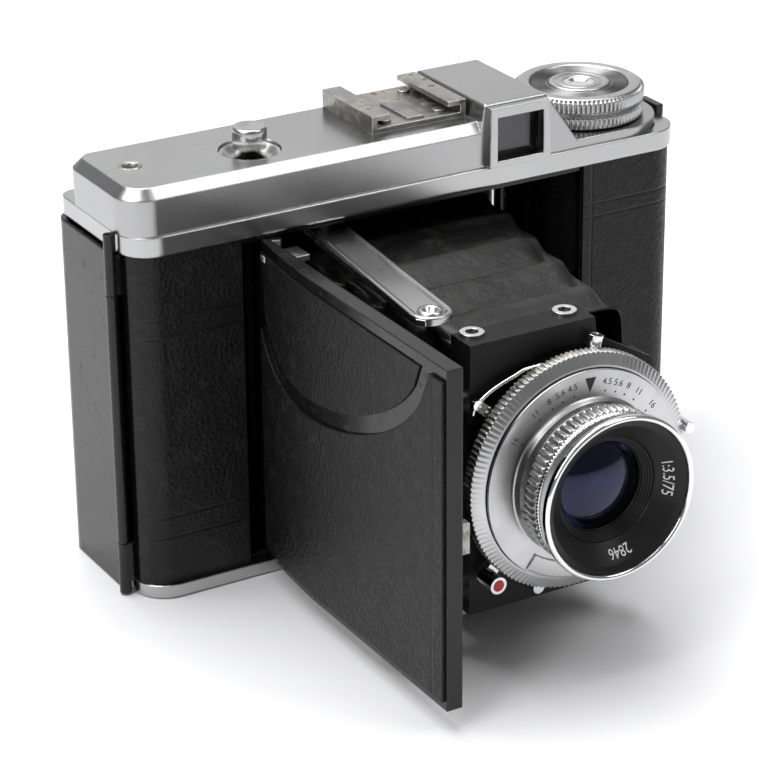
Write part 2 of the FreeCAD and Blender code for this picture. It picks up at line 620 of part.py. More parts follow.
def door_curve(grow):
    """Plan line of the door's outer side, free edge first; grow moves it outward."""
    face = V.door_face - grow
    bend = V.hinge_y - 24.0
    length = 29.4
    points = [(face, V.door_end)]
    steps = 15
    for k in range(steps):
        share = k / (steps - 1)
        points.append((face + 3.0 * share ** 1.8, bend + length * share))
    return points


def door_band(outside, inside):
    """Plan outline of a sheet that follows the door's outer side."""
    return door_curve(outside) + door_curve(-inside)[::-1]


def make_door():
    low, high = V.door_low, V.door_high
    skin = prism_z(door_band(0.0, V.door_skin), low, high)
    trim_low, trim_high = V.floor_top + 0.4, V.ceiling - 0.5
    back = V.front_face - 1.2
    for z0, z1 in ((low - 1, trim_low), (trim_high, high + 1)):
        skin = skin.cut(block(-60, 0, back, 40, z0, z1))
    inner = V.door_face + V.door_lip
    walls = []
    for z0, z1 in ((low, low + 1.4), (high - 1.4, high)):
        wall = block(V.door_face, inner, V.door_end, V.hinge_y - 3.0, z0, z1)
        walls.append(wall.common(prism_z(door_band(-0.5, 12.0), z0, z1)))
    walls.append(block(V.door_face + 0.5, inner, V.door_end, V.door_end + 1.5, low, high))
    shape = skin.fuse(walls)
    axis = Vector(-V.hinge_side, V.hinge_y, 0)
    knuckle = Part.makeCylinder(V.hinge_radius, 54, axis + Vector(0, 0, 10.0))
    web = block(V.door_face + 2.4, -V.hinge_side, V.hinge_y - 0.7, V.hinge_y + 0.7, 10.0, 64.0)
    shape = shape.fuse([knuckle, web])
    shape = shape.cut(Part.makeCylinder(0.6 + V.pin_fit, 80, axis))
    shape = shape.removeSplitter()
    keep(solid("front_door", shape), "front_door")
    ends = []
    for z0, z1 in ((V.floor_top, 9.8), (64.2, V.ceiling)):
        ends.append(Part.makeCylinder(V.hinge_radius, z1 - z0, axis + Vector(0, 0, z0)))
    ends.append(Part.makeCylinder(0.6, 60, axis + Vector(0, 0, 7)))
    keep(solid("door_hinge", ends[0].fuse(ends[1:]).removeSplitter()), "door_hinge")


def crescent(shift):
    """Outline of the smooth field at the top of the door, in Y and Z; shift shrinks it."""
    top = V.door_high - 2.3 + min(shift, 0) * -1
    first, last = V.hinge_y - 1.0, V.door_end + 8.6
    deep = V.door_high - 24.2
    points = []
    steps = 30
    for k in range(steps + 1):
        share = k / steps
        y = first + (last - first) * share
        drop = (1 - (2 * max(share, 0.0) ** 0.62 - 1) ** 2)
        z = top - (top - deep) * max(drop, 0.0) ** 0.62
        points.append((y, z))
    return points, top


def make_door_leather():
    z_low, z_high = V.door_low + 1.8, V.door_high - 2.3
    free = V.door_end + 0.6
    strip = prism_z(door_band(0.7, 0.0), z_low, z_high)
    strip = strip.common(block(-60, 0, free, V.hinge_y - 0.9, z_low, z_high))
    points, top = crescent(0.0)
    edge = [Vector(-60, y, z) for y, z in points]
    field = Part.makePolygon(edge + [Vector(-60, points[-1][0], 90), Vector(-60, points[0][0], 90), edge[0]])
    field = Part.Face(field)
    inset = field.extrude(Vector(60, 0, 0))
    border = field.makeOffset2D(3.4).extrude(Vector(60, 0, 0))
    keep(solid("door_leather", strip.cut(border)), "door_leather")
    patch = prism_z(door_band(0.35, 0.0), z_low, z_high)
    patch = patch.common(block(-60, 0, free, V.hinge_y - 0.9, z_low, z_high)).common(inset)
    keep(solid("door_crescent", patch), "door_crescent")


def make_door_fittings():
    rail_x = "door_face + door_skin"
    rail = box("door_rail_bar", (rail_x, rail_x + " + 1.8"),
               ("link_y - 8", "link_y + rail_travel + 8"), ("6.9", "9.9"))
    shoe = box("slider_block", (rail_x + " + 1.85", rail_x + " + 4.4"), ("link_y - 4", "link_y + 4"),
               ("7.0", "9.4"))
    arm = box("slider_arm", (rail_x + " + 4.4", "link_x - 1.0"), ("link_y - 2.6", "link_y + 2.6"),
              ("8.2", "9.4"))
    eye = rod("slider_eye", "z", "2.6", ("link_x", "link_y"), "8.2", "9.4")
    stud = rod("slider_stud", "z", "0.9", ("link_x", "link_y"), "9.4", "11.2")
    keep(join("door_slider", [shoe, arm, eye, stud]), "door_slider")
    foot = box("door_lug_foot", (rail_x, "door_face + 9.2"), ("hinge_y - 6.6", "hinge_y - 1.6"),
               ("66.9", "68.1"))
    fittings = join("door_rail_parts", [rail, foot])
    beside = [doc.getObject("front_door"), doc.getObject("door_crescent")]
    keep(cut("door_rail_trimmed", fittings, beside), "door_rail")
    hook = box("door_catch_arm", (rail_x, "door_face + 5.6"), ("door_end + 1.55", "door_end + 2.4"),
               ("lens_height - 3", "lens_height + 3"))
    claw = box("door_catch_claw", ("door_face + 4.8", "door_face + 5.6"),
               ("door_end + 2.4", "door_end + 3.4"), ("lens_height - 3", "lens_height + 3"))
    keep(join("door_catch", [hook, claw]), "door_catch")


# ---------------------------------------------------------------- struts and lens board

def make_struts():
    lean = "-4.8"
    reach = "(strut_y - strut_length)"
    outline = [("strut_x - 4.1", "strut_y"), ("strut_x - 8.7", reach + " - 1.6"),
               ("strut_x - 7.6", reach + " - 3.0"), ("strut_x - 2.6", reach + " - 3.0"),
               ("strut_x - 1.6", reach + " - 1.6"), ("strut_x + 3.9", "strut_y"),
               ("strut_x + 2.4", "strut_y + 3.4"), ("strut_x - 2.4", "strut_y + 3.4")]
    holes = [("strut_x", "strut_y", "1.5 + pin_fit"), ("strut_x + " + lean, reach, "1.5")]
    arms = []
    for name, low in (("upper", "2 * lens_height - 6.8"), ("lower", "5.5")):
        arms.append(plate("strut_" + name + "_arm", "XY_Plane", outline, low,
                          low + " + strut_thick", holes[:2 - len(arms)]))
    keep(arms[0], "strut_upper")
    upper = "(2 * lens_height - 6.8)"
    tip = ("strut_x + " + lean, reach)
    stud = rod("strut_stud_pin", "z", "1.5", tip, upper + " - 1.6", upper + " + strut_thick + 0.6")
    washer = ring("strut_stud_washer", "z", "2.45", "1.5", tip, upper + " + strut_thick",
                  upper + " + strut_thick + 0.55")
    bush = rod("strut_stud_bush", "z", "2.0", tip, upper + " - 1.6", upper)
    low_stud = rod("strut_stud_low", "z", "1.5", tip, "5.1", "5.5 + strut_thick + 0.6")
    keep(join("strut_rivet_parts", [stud, washer, bush]), "strut_rivet")
    keep(join("strut_lower_riveted", [arms[1], low_stud]), "strut_lower")


def make_board():
    half, low, high = "standard_half", "standard_low", "standard_high"
    front, rear = "board_front", "board_rear"
    back = rear + " + flange_depth"
    outline = [("-" + half, low), (half, low), (half, "shoulder_low"), ("shoulder_x + 0.6", "60.2"),
               ("shoulder_x", high), ("-" + half, high)]
    face = plate("board_face", "XZ_Plane", outline, front, rear)
    flanges = [box("board_flange_top", ("-" + half, "shoulder_x"), (rear, back), (high + " - 1.2", high)),
               box("board_flange_low", ("-" + half, half), (rear, back), (low, low + " + 1.2")),
               box("board_flange_left", ("-" + half, "-" + half + " + 1.0"), (rear, back),
                   (low + " + 1.2", high + " - 1.2")),
               box("board_flange_right", (half + " - 1.0", half), (rear, back),
                   (low + " + 1.2", "shoulder_low"))]
    solid_board = join("board_solid", [face] + flanges)
    seat = rod("board_seat", "y", "14.0", ("0", "lens_height"), front + " - 1", rear + " + 1")
    panel = rod("board_panel", "y", "22.6", ("0", "lens_height"), front + " - 1", front + " + 0.5")
    pivot = rod("board_pivot", "z", "0.9 + pin_fit", ("link_x", "link_y"), low + " - 1", low + " + 3")
    keep(cut("lens_board", solid_board, [seat, panel, pivot]), "lens_board")
    rings = []
    for k, (px, py) in enumerate((("-16.6", "3.4"), ("3.2", "3.4"))):
        rings.append(ring("board_rivet_%d" % k, "z", "2.3", "1.2", (px, rear + " + " + py), high,
                          high + " + 0.6"))
    for k, pz in enumerate(("51.5", "13.8")):
        rings.append(ring("side_rivet_%d" % k, "x", "2.3", "1.2", (rear + " + 2.6", pz),
                          "-" + half + " - 0.8", "-" + half))
    keep(join("board_rivets", rings), "board_rivets")


def make_bellows():
    rear_half = V.gate_half + 0.6
    rear_y, front_y = V.gate_front - 0.1, V.board_rear + V.flange_depth + 0.1
    z = V.lens_height

    def tapered(grow):
        wide = rear_half + grow
        back = Part.makePolygon([Vector(a * wide, rear_y, z + b * wide) for a, b in
                                 ((-1, -1), (1, -1), (1, 1), (-1, 1), (-1, -1))])
        wx, wz = V.standard_half - 1.4 + grow, 25.4 + grow
        front = Part.makePolygon([Vector(a * wx, front_y, z + b * wz) for a, b in
                                  ((-1, -1), (1, -1), (1, 1), (-1, 1), (-1, -1))])
        return Part.makeLoft([back, front], True, True)

    shape = tapered(0.0).cut(tapered(-2.2))
    keep(solid("bellows", shape), "bellows")


# ---------------------------------------------------------------- shutter and lens

def make_shutter():
    axis = ("0", "lens_height")
    centre = Vector(0, 0, V.lens_height)
    front = "board_front"
    case = ring("shutter_case", "y", "20.6", "9.0", axis, "ring_front", front)
    tail = ring("shutter_tail", "y", "13.9", "9.0", axis, front, "board_rear + 1.6")
    keep(join("shutter_housing", [case, tail]), "shutter_housing")
    start = centre + Vector(0, V.ring_front + 0.2, 0)
    outer = knurled(V.ring_radius, 0.35, 110, start, 3.9, Vector(0, 1, 0))
    bore = Part.makeCylinder(20.6 + V.pin_fit, 20, centre + Vector(0, V.ring_front - 5, 0), Vector(0, 1, 0))
    bevel = Part.makeCone(V.dial_radius + 0.7, V.ring_radius + 0.6, 1.6,
                          centre + Vector(0, V.ring_front + 0.2, 0), Vector(0, 1, 0))
    collar = Part.makeCylinder(V.ring_radius + 2, 1.6, centre + Vector(0, V.ring_front + 0.2, 0),
                               Vector(0, 1, 0)).cut(bevel)
    keep(solid("speed_ring", outer.cut(bore).cut(collar)), "speed_ring")
    dial = ring("dial_face", "y", "dial_radius", "15.0", axis, "ring_front - 0.6", "ring_front")
    cone = rod("barrel_seat_cone", "y", "14.95", axis, "ring_front - 2.2", "ring_front", "14.2")
    hole = rod("barrel_seat_bore", "y", "9.6", axis, "ring_front - 5", "ring_front + 5")
    keep(join("dial_with_seat", [dial, cut("lens_seat", cone, [hole])]), "dial_plate")
    blades = []
    for k in range(3):
        angle = math.radians(120 * k)
        wedge = [Vector(0, V.ring_front + 4.0, V.lens_height)]
        for step in range(13):
            turn = angle + math.radians(116) * step / 12
            wedge.append(Vector(8.7 * math.cos(turn), V.ring_front + 4.0,
                                V.lens_height + 8.7 * math.sin(turn)))
        blades.append(Part.Face(Part.makePolygon(wedge + wedge[:1])).extrude(Vector(0, 0.15, 0)))
    keep(solid("shutter_blades", Part.makeCompound(blades)), "shutter_blades")


def radial_lever(name, angle, inner, outer, width, y0, y1, knob, knob_front):
    """A flat lever standing out from the lens axis, with a round grip at its end."""
    bar = block(inner, outer, y0, y1, -width / 2, width / 2)
    grip = Part.makeCylinder(knob, y1 - knob_front, Vector(outer, knob_front, 0), Vector(0, 1, 0))
    shape = bar.fuse(grip)
    shape.rotate(Vector(0, 0, 0), Vector(0, 1, 0), -angle)
    shape.translate(Vector(0, 0, V.lens_height))
    return keep(solid(name, shape.removeSplitter()), name)


def make_levers():
    behind = V.ring_front + 4.3
    radial_lever("cocking_lever", 7.0, 20.7, 24.6, 2.2, behind, behind + 1.0, 1.1, V.ring_front + 0.6)
    radial_lever("aperture_lever", 255.0, 20.7, 24.6, 2.4, behind, behind + 1.0, 1.2, behind - 0.1)
    radial_lever("self_timer_lever", 226.5, 20.7, 25.6, 2.6, behind, behind + 1.0, 1.7,
                 V.ring_front + 0.4)
    radial_lever("release_lever", 140.0, 20.7, 25.8, 2.0, behind, behind + 0.9, 1.0, behind - 0.1)
    angle = math.radians(76)
    out = Vector(math.cos(angle), 0, math.sin(angle))
    start = out * 20.7 + Vector(0, V.ring_front + 5.6, V.lens_height)
    socket = Part.makeCylinder(1.5, 4.4, start, out).cut(
        Part.makeCylinder(0.9, 2.0, start + out * 2.8, out))
    keep(solid("flash_socket", socket), "flash_socket")


def make_lens():
    centre = Vector(0, 0, V.lens_height)
    y = V.bezel_front
    ahead = Vector(0, 1, 0)
    ring_shape = knurled(V.barrel_radius, 0.3, 90, centre + Vector(0, y + 5.0, 0), 3.4, ahead)
    scale = Part.makeCylinder(V.barrel_radius - 0.5, 2.0, centre + Vector(0, y + 8.4, 0), ahead)
    grip = ring_shape.fuse(scale)
    grip = grip.cut(Part.makeCylinder(13.3, 20, centre + Vector(0, y, 0), ahead))
    keep(solid("focus_ring", grip), "focus_ring")
    rim = Part.makeCylinder(V.bezel_radius, 2.4, centre + Vector(0, y, 0), ahead)
    rim = rim.fuse(Part.makeCone(V.bezel_radius, V.barrel_radius - 0.6, 1.6,
                                 centre + Vector(0, y + 2.4, 0), ahead))
    rim = rim.fuse(Part.makeCylinder(V.barrel_radius - 0.6, 1.0, centre + Vector(0, y + 4.0, 0), ahead))
    edges = [e for e in rim.Edges if e.BoundBox.YMax < y + 0.01]
    rim = rim.makeFillet(0.7, edges)
    rim = rim.cut(Part.makeCylinder(14.6, 20, centre + Vector(0, y - 5, 0), ahead))
    keep(solid("front_bezel", rim), "front_bezel")
    hood = Part.makeCylinder(14.55, 3.9, centre + Vector(0, y + 1.0, 0), ahead)
    hood = hood.fuse(Part.makeCylinder(13.25, 3.0, centre + Vector(0, y + 4.9, 0), ahead))
    bowl = Part.makeCone(13.4, 9.9, 3.6, centre + Vector(0, y + 1.0, 0), ahead)
    hood = hood.cut([bowl, Part.makeCylinder(9.9, 20, centre + Vector(0, y + 4.0, 0), ahead)])
    cell = Part.makeCylinder(9.85, 5.4, centre + Vector(0, y + 4.6, 0), ahead)
    cell = cell.cut(Part.makeCylinder(V.glass_radius, 20, centre + Vector(0, y, 0), ahead))
    keep(solid("lens_hood", hood.fuse(cell).removeSplitter()), "lens_hood")
    keep(solid("front_lens", lens_glass(y + 5.0, 3.4, 17.0, V.glass_radius - 0.05)), "front_lens")
    keep(solid("rear_lens", lens_glass(V.board_rear + 0.2, 2.6, 24.0, 6.9)), "rear_lens")
    rear = ring("rear_cell_ring", "y", "8.9", "7.0", ("0", "lens_height"), "board_rear - 1.0",
                "board_rear + 3.4")
    keep(rear, "rear_cell")


def lens_glass(front, thick, curve, radius):
    """A glass with a domed front and a flat rear."""
    centre = Vector(0, 0, V.lens_height)
    slug = Part.makeCylinder(radius, thick, centre + Vector(0, front, 0), Vector(0, 1, 0))
    ball = Part.makeSphere(curve, centre + Vector(0, front + curve, 0))
    return slug.common(ball)


def build_all():
    fill_sheet()
    make_casting()
    leather_wrap(-1)
    leather_wrap(1)
    make_band()
    make_cover()
    make_finder()
    make_shoe()
    make_top_controls()
    make_winding()
    make_film_path()
    make_back()
    make_back_hinge()
    make_base()
    make_door()
    make_door_leather()
    make_door_fittings()
    make_struts()
    make_board()
    make_bellows()
    make_shutter()
    make_levers()
    make_lens()
    doc.recompute()


def export_all():
    for item in doc.Objects:
        if "Invalid" in item.State or "Error" in item.State:
            raise RuntimeError("not built: %s %s" % (item.Label, item.State))
    for item in NODES:
        if item.Shape.isNull() or not item.Shape.isValid():
            raise RuntimeError("bad solid: %s" % item.Label)
    os.makedirs("parts", exist_ok=True)
    for item in NODES:
        item.Shape.exportStep("parts/%s.step" % item.Label)


build_all()
export_all()
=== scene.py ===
import math

import bmesh
import bpy
import numpy as np
from mathutils import Matrix, Vector


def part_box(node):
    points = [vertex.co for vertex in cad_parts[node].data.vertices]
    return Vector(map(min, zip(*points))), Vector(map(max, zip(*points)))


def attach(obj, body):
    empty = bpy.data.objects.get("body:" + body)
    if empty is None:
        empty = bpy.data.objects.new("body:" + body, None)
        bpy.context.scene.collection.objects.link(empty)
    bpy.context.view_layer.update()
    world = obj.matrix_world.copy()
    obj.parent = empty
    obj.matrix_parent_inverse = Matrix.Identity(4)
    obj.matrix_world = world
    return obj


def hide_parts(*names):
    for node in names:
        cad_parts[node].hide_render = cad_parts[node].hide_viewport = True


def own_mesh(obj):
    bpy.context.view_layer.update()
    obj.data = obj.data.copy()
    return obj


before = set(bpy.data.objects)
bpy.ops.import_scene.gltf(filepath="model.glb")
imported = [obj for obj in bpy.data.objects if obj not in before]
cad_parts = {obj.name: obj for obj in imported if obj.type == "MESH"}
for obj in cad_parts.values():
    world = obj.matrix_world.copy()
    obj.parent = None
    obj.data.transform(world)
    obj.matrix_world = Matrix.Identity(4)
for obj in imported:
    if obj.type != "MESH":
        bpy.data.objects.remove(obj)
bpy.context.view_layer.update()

MM = 0.001
FACE_UP = 0.03          # how far printed figures stand off their face, in mm
STRUT_ROUND = 3.4       # round of the struts' pivot ends, in mm
STRUT_EDGE = 3.9        # from a strut's body pivot to its right edge, in mm
RING_BORE = 20.66       # inside radius of the speed ring, in mm
BARREL_BORE = 13.35     # inside radius of the focusing barrel, in mm
DIAL_INNER = 4.4        # radius where the winding knob's sunk middle starts, in mm
EASE_POINTS = 4         # points on each eased corner

CAMERA_BEARING, CAMERA_HEIGHT, CAMERA_ROLL = -29.92, 24.12, -0.54      # degrees
CAMERA_TARGET, CAMERA_DISTANCE = (1.04, 1.57, 26.18), 625.06           # mm
SENSOR_WIDTH, CAMERA_ZOOM = 36.0, 4.0026                               # mm, and focal length over width


def span(node):
    """Lowest and highest corner of a CAD node, in mm."""
    low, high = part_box(node)
    return np.array(low) / MM, np.array(high) / MM


DIAL_LOW, DIAL_HIGH = span("dial_plate")
LENS_Z = float(DIAL_LOW[2] + DIAL_HIGH[2]) / 2
RING_LOW, RING_HIGH = span("speed_ring")
RING_R = float(RING_HIGH[0])
RIM_LOW, RIM_HIGH = span("front_bezel")
KNOB_LOW, KNOB_HIGH = span("wind_knob")
KNOB_X = float(KNOB_LOW[0] + KNOB_HIGH[0]) / 2
KNOB_R = float(KNOB_HIGH[0] - KNOB_LOW[0]) / 2


# ---------------------------------------------------------------- materials

class Signal:
    """A number on its way through a material: arithmetic on it adds Math nodes."""

    def __init__(self, finish, socket):
        self.finish = finish
        self.socket = socket

    def math(self, operation, first, second=0.0):
        return self.finish.node("ShaderNodeMath", {"operation": operation}, {0: first, 1: second})

    def __add__(self, other):
        return self.math("ADD", self, other)

    def __sub__(self, other):
        return self.math("SUBTRACT", self, other)

    def __rsub__(self, other):
        return self.math("SUBTRACT", other, self)

    def __mul__(self, other):
        return self.math("MULTIPLY", self, other)

    def __pow__(self, other):
        return self.math("POWER", self, other)

    __radd__ = __add__
    __rmul__ = __mul__

    def size(self):
        return self.math("ABSOLUTE", self)

    def wave(self):
        return self.math("SINE", self)

    def most(self, other):
        return self.math("MAXIMUM", self, other)

    def least(self, other):
        return self.math("MINIMUM", self, other)

    def step(self, low, high):
        """0 below low and 1 above high, with a smooth rise between."""
        return self.finish.node("ShaderNodeMapRange",
                                {"interpolation_type": "SMOOTHSTEP"},
                                {"Value": self, "From Min": low, "From Max": high})


class Finish:
    """One material and the nodes in front of its shader."""

    def __init__(self, name, **constants):
        self.material = bpy.data.materials.new(name)
        self.material.use_nodes = True
        self.tree = self.material.node_tree
        self.shader = self.tree.nodes["Principled BSDF"]
        for key, value in constants.items():
            self.shader.inputs[key.replace("_", " ").title().replace("Ior", "IOR")].default_value = value
        self.place = self.node("ShaderNodeTexCoord", {}, {}, "Object")
        self.x, self.y, self.z = [self.node("ShaderNodeSeparateXYZ", {}, {0: self.place}, k) for k in "XYZ"]

    def node(self, kind, settings, values, output=0):
        made = self.tree.nodes.new(kind)
        for key, value in settings.items():
            setattr(made, key, value)
        for key, value in values.items():
            if isinstance(value, Signal):
                self.tree.links.new(value.socket, made.inputs[key])
            else:
                made.inputs[key].default_value = value
        return Signal(self, made.outputs[output])

    def noise(self, scale, detail=3.0, stretch=None, rough=0.5):
        place = self.place
        if stretch:
            place = self.node("ShaderNodeMapping", {}, {"Vector": place, "Scale": stretch})
        return self.node("ShaderNodeTexNoise", {},
                         {"Vector": place, "Scale": scale, "Detail": detail, "Roughness": rough})

    def cells(self, scale, warp=0.0):
        place = self.place
        if warp:
            wobble = self.node("ShaderNodeTexNoise", {}, {"Vector": place, "Scale": scale * 0.6}, "Color")
            shift = self.node("ShaderNodeVectorMath", {"operation": "SCALE"}, {0: wobble, "Scale": warp})
            place = self.node("ShaderNodeVectorMath", {"operation": "ADD"}, {0: place, 1: shift})
        return self.node("ShaderNodeTexVoronoi", {}, {"Vector": place, "Scale": scale}, "Distance")

    def mix(self, share, first, second):
        return self.node("ShaderNodeMix", {"data_type": "RGBA"}, {0: share, 6: first, 7: second}, 2)

    def soft_edges(self, radius):
        return self.node("ShaderNodeBevel", {"samples": 6}, {"Radius": radius * MM})

    def worn_edges(self, radius, low=0.02, high=0.25):
        """How far the rounded normal leans off the true one: 1 along edges and 0 on flats."""
        soft = self.soft_edges(radius)
        true = self.node("ShaderNodeNewGeometry", {}, {}, "True Normal")
        along = self.node("ShaderNodeVectorMath", {"operation": "DOT_PRODUCT"}, {0: soft, 1: true}, "Value")
        return (1.0 - along).step(low, high)

    def bump(self, height, distance, strength=1.0, normal=None):
        values = {"Height": height, "Distance": distance * MM, "Strength": strength}
        if normal is not None:
            values["Normal"] = normal
        return self.node("ShaderNodeBump", {}, values)

    def use(self, **links):
        for key, value in links.items():
            socket = self.shader.inputs[key.replace("_", " ").title()]
            if isinstance(value, Signal):
                self.tree.links.new(value.socket, socket)
            else:
                socket.default_value = value
        return self.material


def grey(value):
    return (value, value, value, 1.0)


def satin_chrome(name, base=0.46, rough=0.28, edge=0.35):
    """Bead-blasted chrome: a fine sparkle in the bump, soft handling clouds and brighter rubbed edges."""
    f = Finish(name, metallic=1.0)
    blast = f.noise(5200.0, 2.0)
    cloud = f.noise(45.0, 3.0)
    pits = (1.0 - f.cells(520.0)).step(0.955, 0.985) * f.noise(90.0).step(0.5, 0.62)
    worn = f.worn_edges(0.5)
    tone = f.mix(cloud.step(0.35, 0.7), grey(base * 0.94), (base, base, base * 0.995, 1))
    tone = f.mix(pits * 0.8, tone, (0.14, 0.12, 0.10, 1))
    tone = f.mix(worn * 0.7, tone, (0.80, 0.80, 0.78, 1))
    gloss = rough + 0.06 * (cloud - 0.5) - 0.10 * worn
    soft = f.soft_edges(edge)
    return f.use(base_color=tone, roughness=gloss, normal=f.bump(blast * 0.8 - pits, 0.010, 0.5, soft))


def bright_chrome(name):
    """Polished chrome with hairline scratches and a little dulling."""
    f = Finish(name, metallic=1.0)
    cloud = f.noise(110.0, 4.0)
    hair = f.noise(500.0, 2.0, (1.0, 18.0, 6.0)).step(0.64, 0.70)
    specks = (1.0 - f.cells(700.0)).step(0.95, 0.985) * cloud.step(0.45, 0.6)
    tone = f.mix(specks, grey(0.80), (0.25, 0.22, 0.18, 1))
    gloss = 0.09 + 0.12 * cloud.step(0.5, 0.8) + 0.15 * hair + 0.4 * specks
    normal = f.bump(cloud * 0.3 - hair * 0.4 - specks, 0.01, 0.4, f.soft_edges(0.18))
    return f.use(base_color=tone, roughness=gloss, normal=normal)


def tarnished(name):
    """Old plated steel: dull grey with brown and green-grey grime in patches and rubbed bright edges."""
    f = Finish(name)
    cloud = f.noise(170.0, 5.0, rough=0.65)
    stain = f.noise(420.0, 4.0, rough=0.7)
    pits = (1.0 - f.cells(900.0, warp=0.0004)).step(0.86, 0.97)
    worn = f.worn_edges(0.4)
    dirt = (cloud.step(0.50, 0.62) * stain.step(0.42, 0.6)).least(1.0)
    tone = f.mix(cloud.step(0.3, 0.7), (0.24, 0.235, 0.22, 1), (0.42, 0.41, 0.385, 1))
    tone = f.mix(dirt * (1.0 - worn * 0.7), tone, (0.11, 0.075, 0.035, 1))
    tone = f.mix(pits * 0.7, tone, (0.07, 0.06, 0.045, 1))
    tone = f.mix(worn * 0.8, tone, (0.78, 0.77, 0.74, 1))
    gloss = 0.36 + 0.32 * dirt + 0.25 * pits - 0.1 * worn
    normal = f.bump(stain * 0.4 + dirt * 0.6 - pits, 0.05, 0.6, f.soft_edges(0.3))
    return f.use(base_color=tone, metallic=1.0 - 0.8 * dirt, roughness=gloss, normal=normal)


def enamel(name, gloss=0.16, edge=0.45, wear=0.35):
    """Black baked enamel: deep gloss, fine swirl marks, dust and dull grey rub marks on the edges."""
    f = Finish(name, specular_ior_level=0.4)
    cloud = f.noise(70.0, 4.0)
    orange = f.noise(900.0, 1.0)
    swirl = f.noise(380.0, 2.0, (16.0, 1.0, 1.0)).step(0.62, 0.72)
    strokes = f.noise(420.0, 2.0, (3.0, 1.0, 20.0)).step(0.66, 0.74)
    dust = (1.0 - f.cells(1300.0)).step(0.93, 0.985) * cloud.step(0.45, 0.62)
    worn = f.worn_edges(edge, 0.05, 0.3) * f.noise(500.0, 4.0).step(0.42, 0.6)
    tone = f.mix(dust * 0.3, grey(0.004), (0.07, 0.07, 0.066, 1))
    tone = f.mix(worn * wear, tone, (0.10, 0.095, 0.085, 1))
    rough = gloss + 0.12 * cloud.step(0.4, 0.8) + 0.18 * (swirl + strokes).least(1.0) + 0.3 * dust
    height = orange * 0.25 - swirl * 0.3 - strokes * 0.3 + dust * 0.3
    return f.use(base_color=tone, roughness=rough, normal=f.bump(height, 0.02, 0.5, f.soft_edges(edge)))


def matt_black(name, tone=0.007, rough=0.5, dusty=0.3):
    """Matt black paint with fine tooth and a little pale dust."""
    f = Finish(name, specular_ior_level=0.25)
    cloud = f.noise(140.0, 4.0)
    tooth = f.noise(3200.0, 2.0)
    dust = (1.0 - f.cells(1500.0)).step(0.88, 0.98) * cloud.step(0.4, 0.6)
    worn = f.worn_edges(0.25, 0.05, 0.35) * f.noise(700.0, 3.0).step(0.45, 0.62)
    shade = f.mix(dust * dusty, grey(tone), (0.16, 0.155, 0.14, 1))
    shade = f.mix(worn * 0.3, shade, (0.24, 0.22, 0.18, 1))
    gloss = rough + 0.15 * (cloud - 0.5) + 0.2 * dust - 0.1 * worn
    normal = f.bump(tooth * 0.5 + dust, 0.02, 0.5, f.soft_edges(0.2))
    return f.use(base_color=shade, roughness=gloss, normal=normal)


def leathercloth(name, lines=(), upright=(), across=()):
    """Black leathercloth: small rounded pebbles with creases between, pressed with narrow lines.
    lines are heights, upright are X places and across are Y places, all in mm."""
    f = Finish(name, specular_ior_level=0.3)
    near = f.cells(1050.0, warp=0.0007)
    fine = f.cells(2300.0, warp=0.0003)
    cloud = f.noise(55.0, 4.0)
    pebble = 1.0 - near.step(0.05, 0.75)
    pressed = None
    for value, places in ((f.z, lines), (f.x, upright), (f.y, across)):
        for place in places:
            gap = (value - place * MM).size()
            line = 1.0 - gap.step(0.12 * MM, 0.42 * MM)
            pressed = line if pressed is None else pressed.most(line)
    height = pebble * 0.8 + (1.0 - fine) * 0.25
    rub = cloud.step(0.52, 0.72)
    dust = (1.0 - pebble) * f.noise(320.0, 4.0).step(0.5, 0.68)
    tone = f.mix(dust * 0.2, grey(0.0045), (0.05, 0.048, 0.044, 1))
    gloss = 0.34 - 0.04 * rub + 0.16 * (1.0 - pebble)
    if pressed is not None:
        height = height * (1.0 - pressed) - pressed * 1.4
        gloss = gloss - 0.1 * pressed
    return f.use(base_color=tone, roughness=gloss, normal=f.bump(height, 0.085, 0.85, f.soft_edges(0.3)))


def bellows_cloth(name):
    """Thin coated cloth: close weave, creases and rubbed, dusty fold lines."""
    f = Finish(name, specular_ior_level=0.35)
    weave = (f.x * 9000.0).wave() * 0.5 + (f.y * 9000.0).wave() * 0.5
    crease = f.noise(160.0, 6.0, rough=0.7)
    cloud = f.noise(45.0, 4.0)
    fold = f.node("ShaderNodeAttribute", {"attribute_name": "fold"}, {}, "Fac")
    dust = (crease.step(0.45, 0.7) * 0.6 + fold * 0.6 * cloud.step(0.3, 0.6)).least(1.0)
    tone = f.mix(dust * 0.35, grey(0.005), (0.07, 0.065, 0.055, 1))
    height = crease * 1.1 + weave * 0.02
    gloss = 0.38 + 0.25 * dust
    return f.use(base_color=tone, roughness=gloss, normal=f.bump(height, 0.35, 0.7))


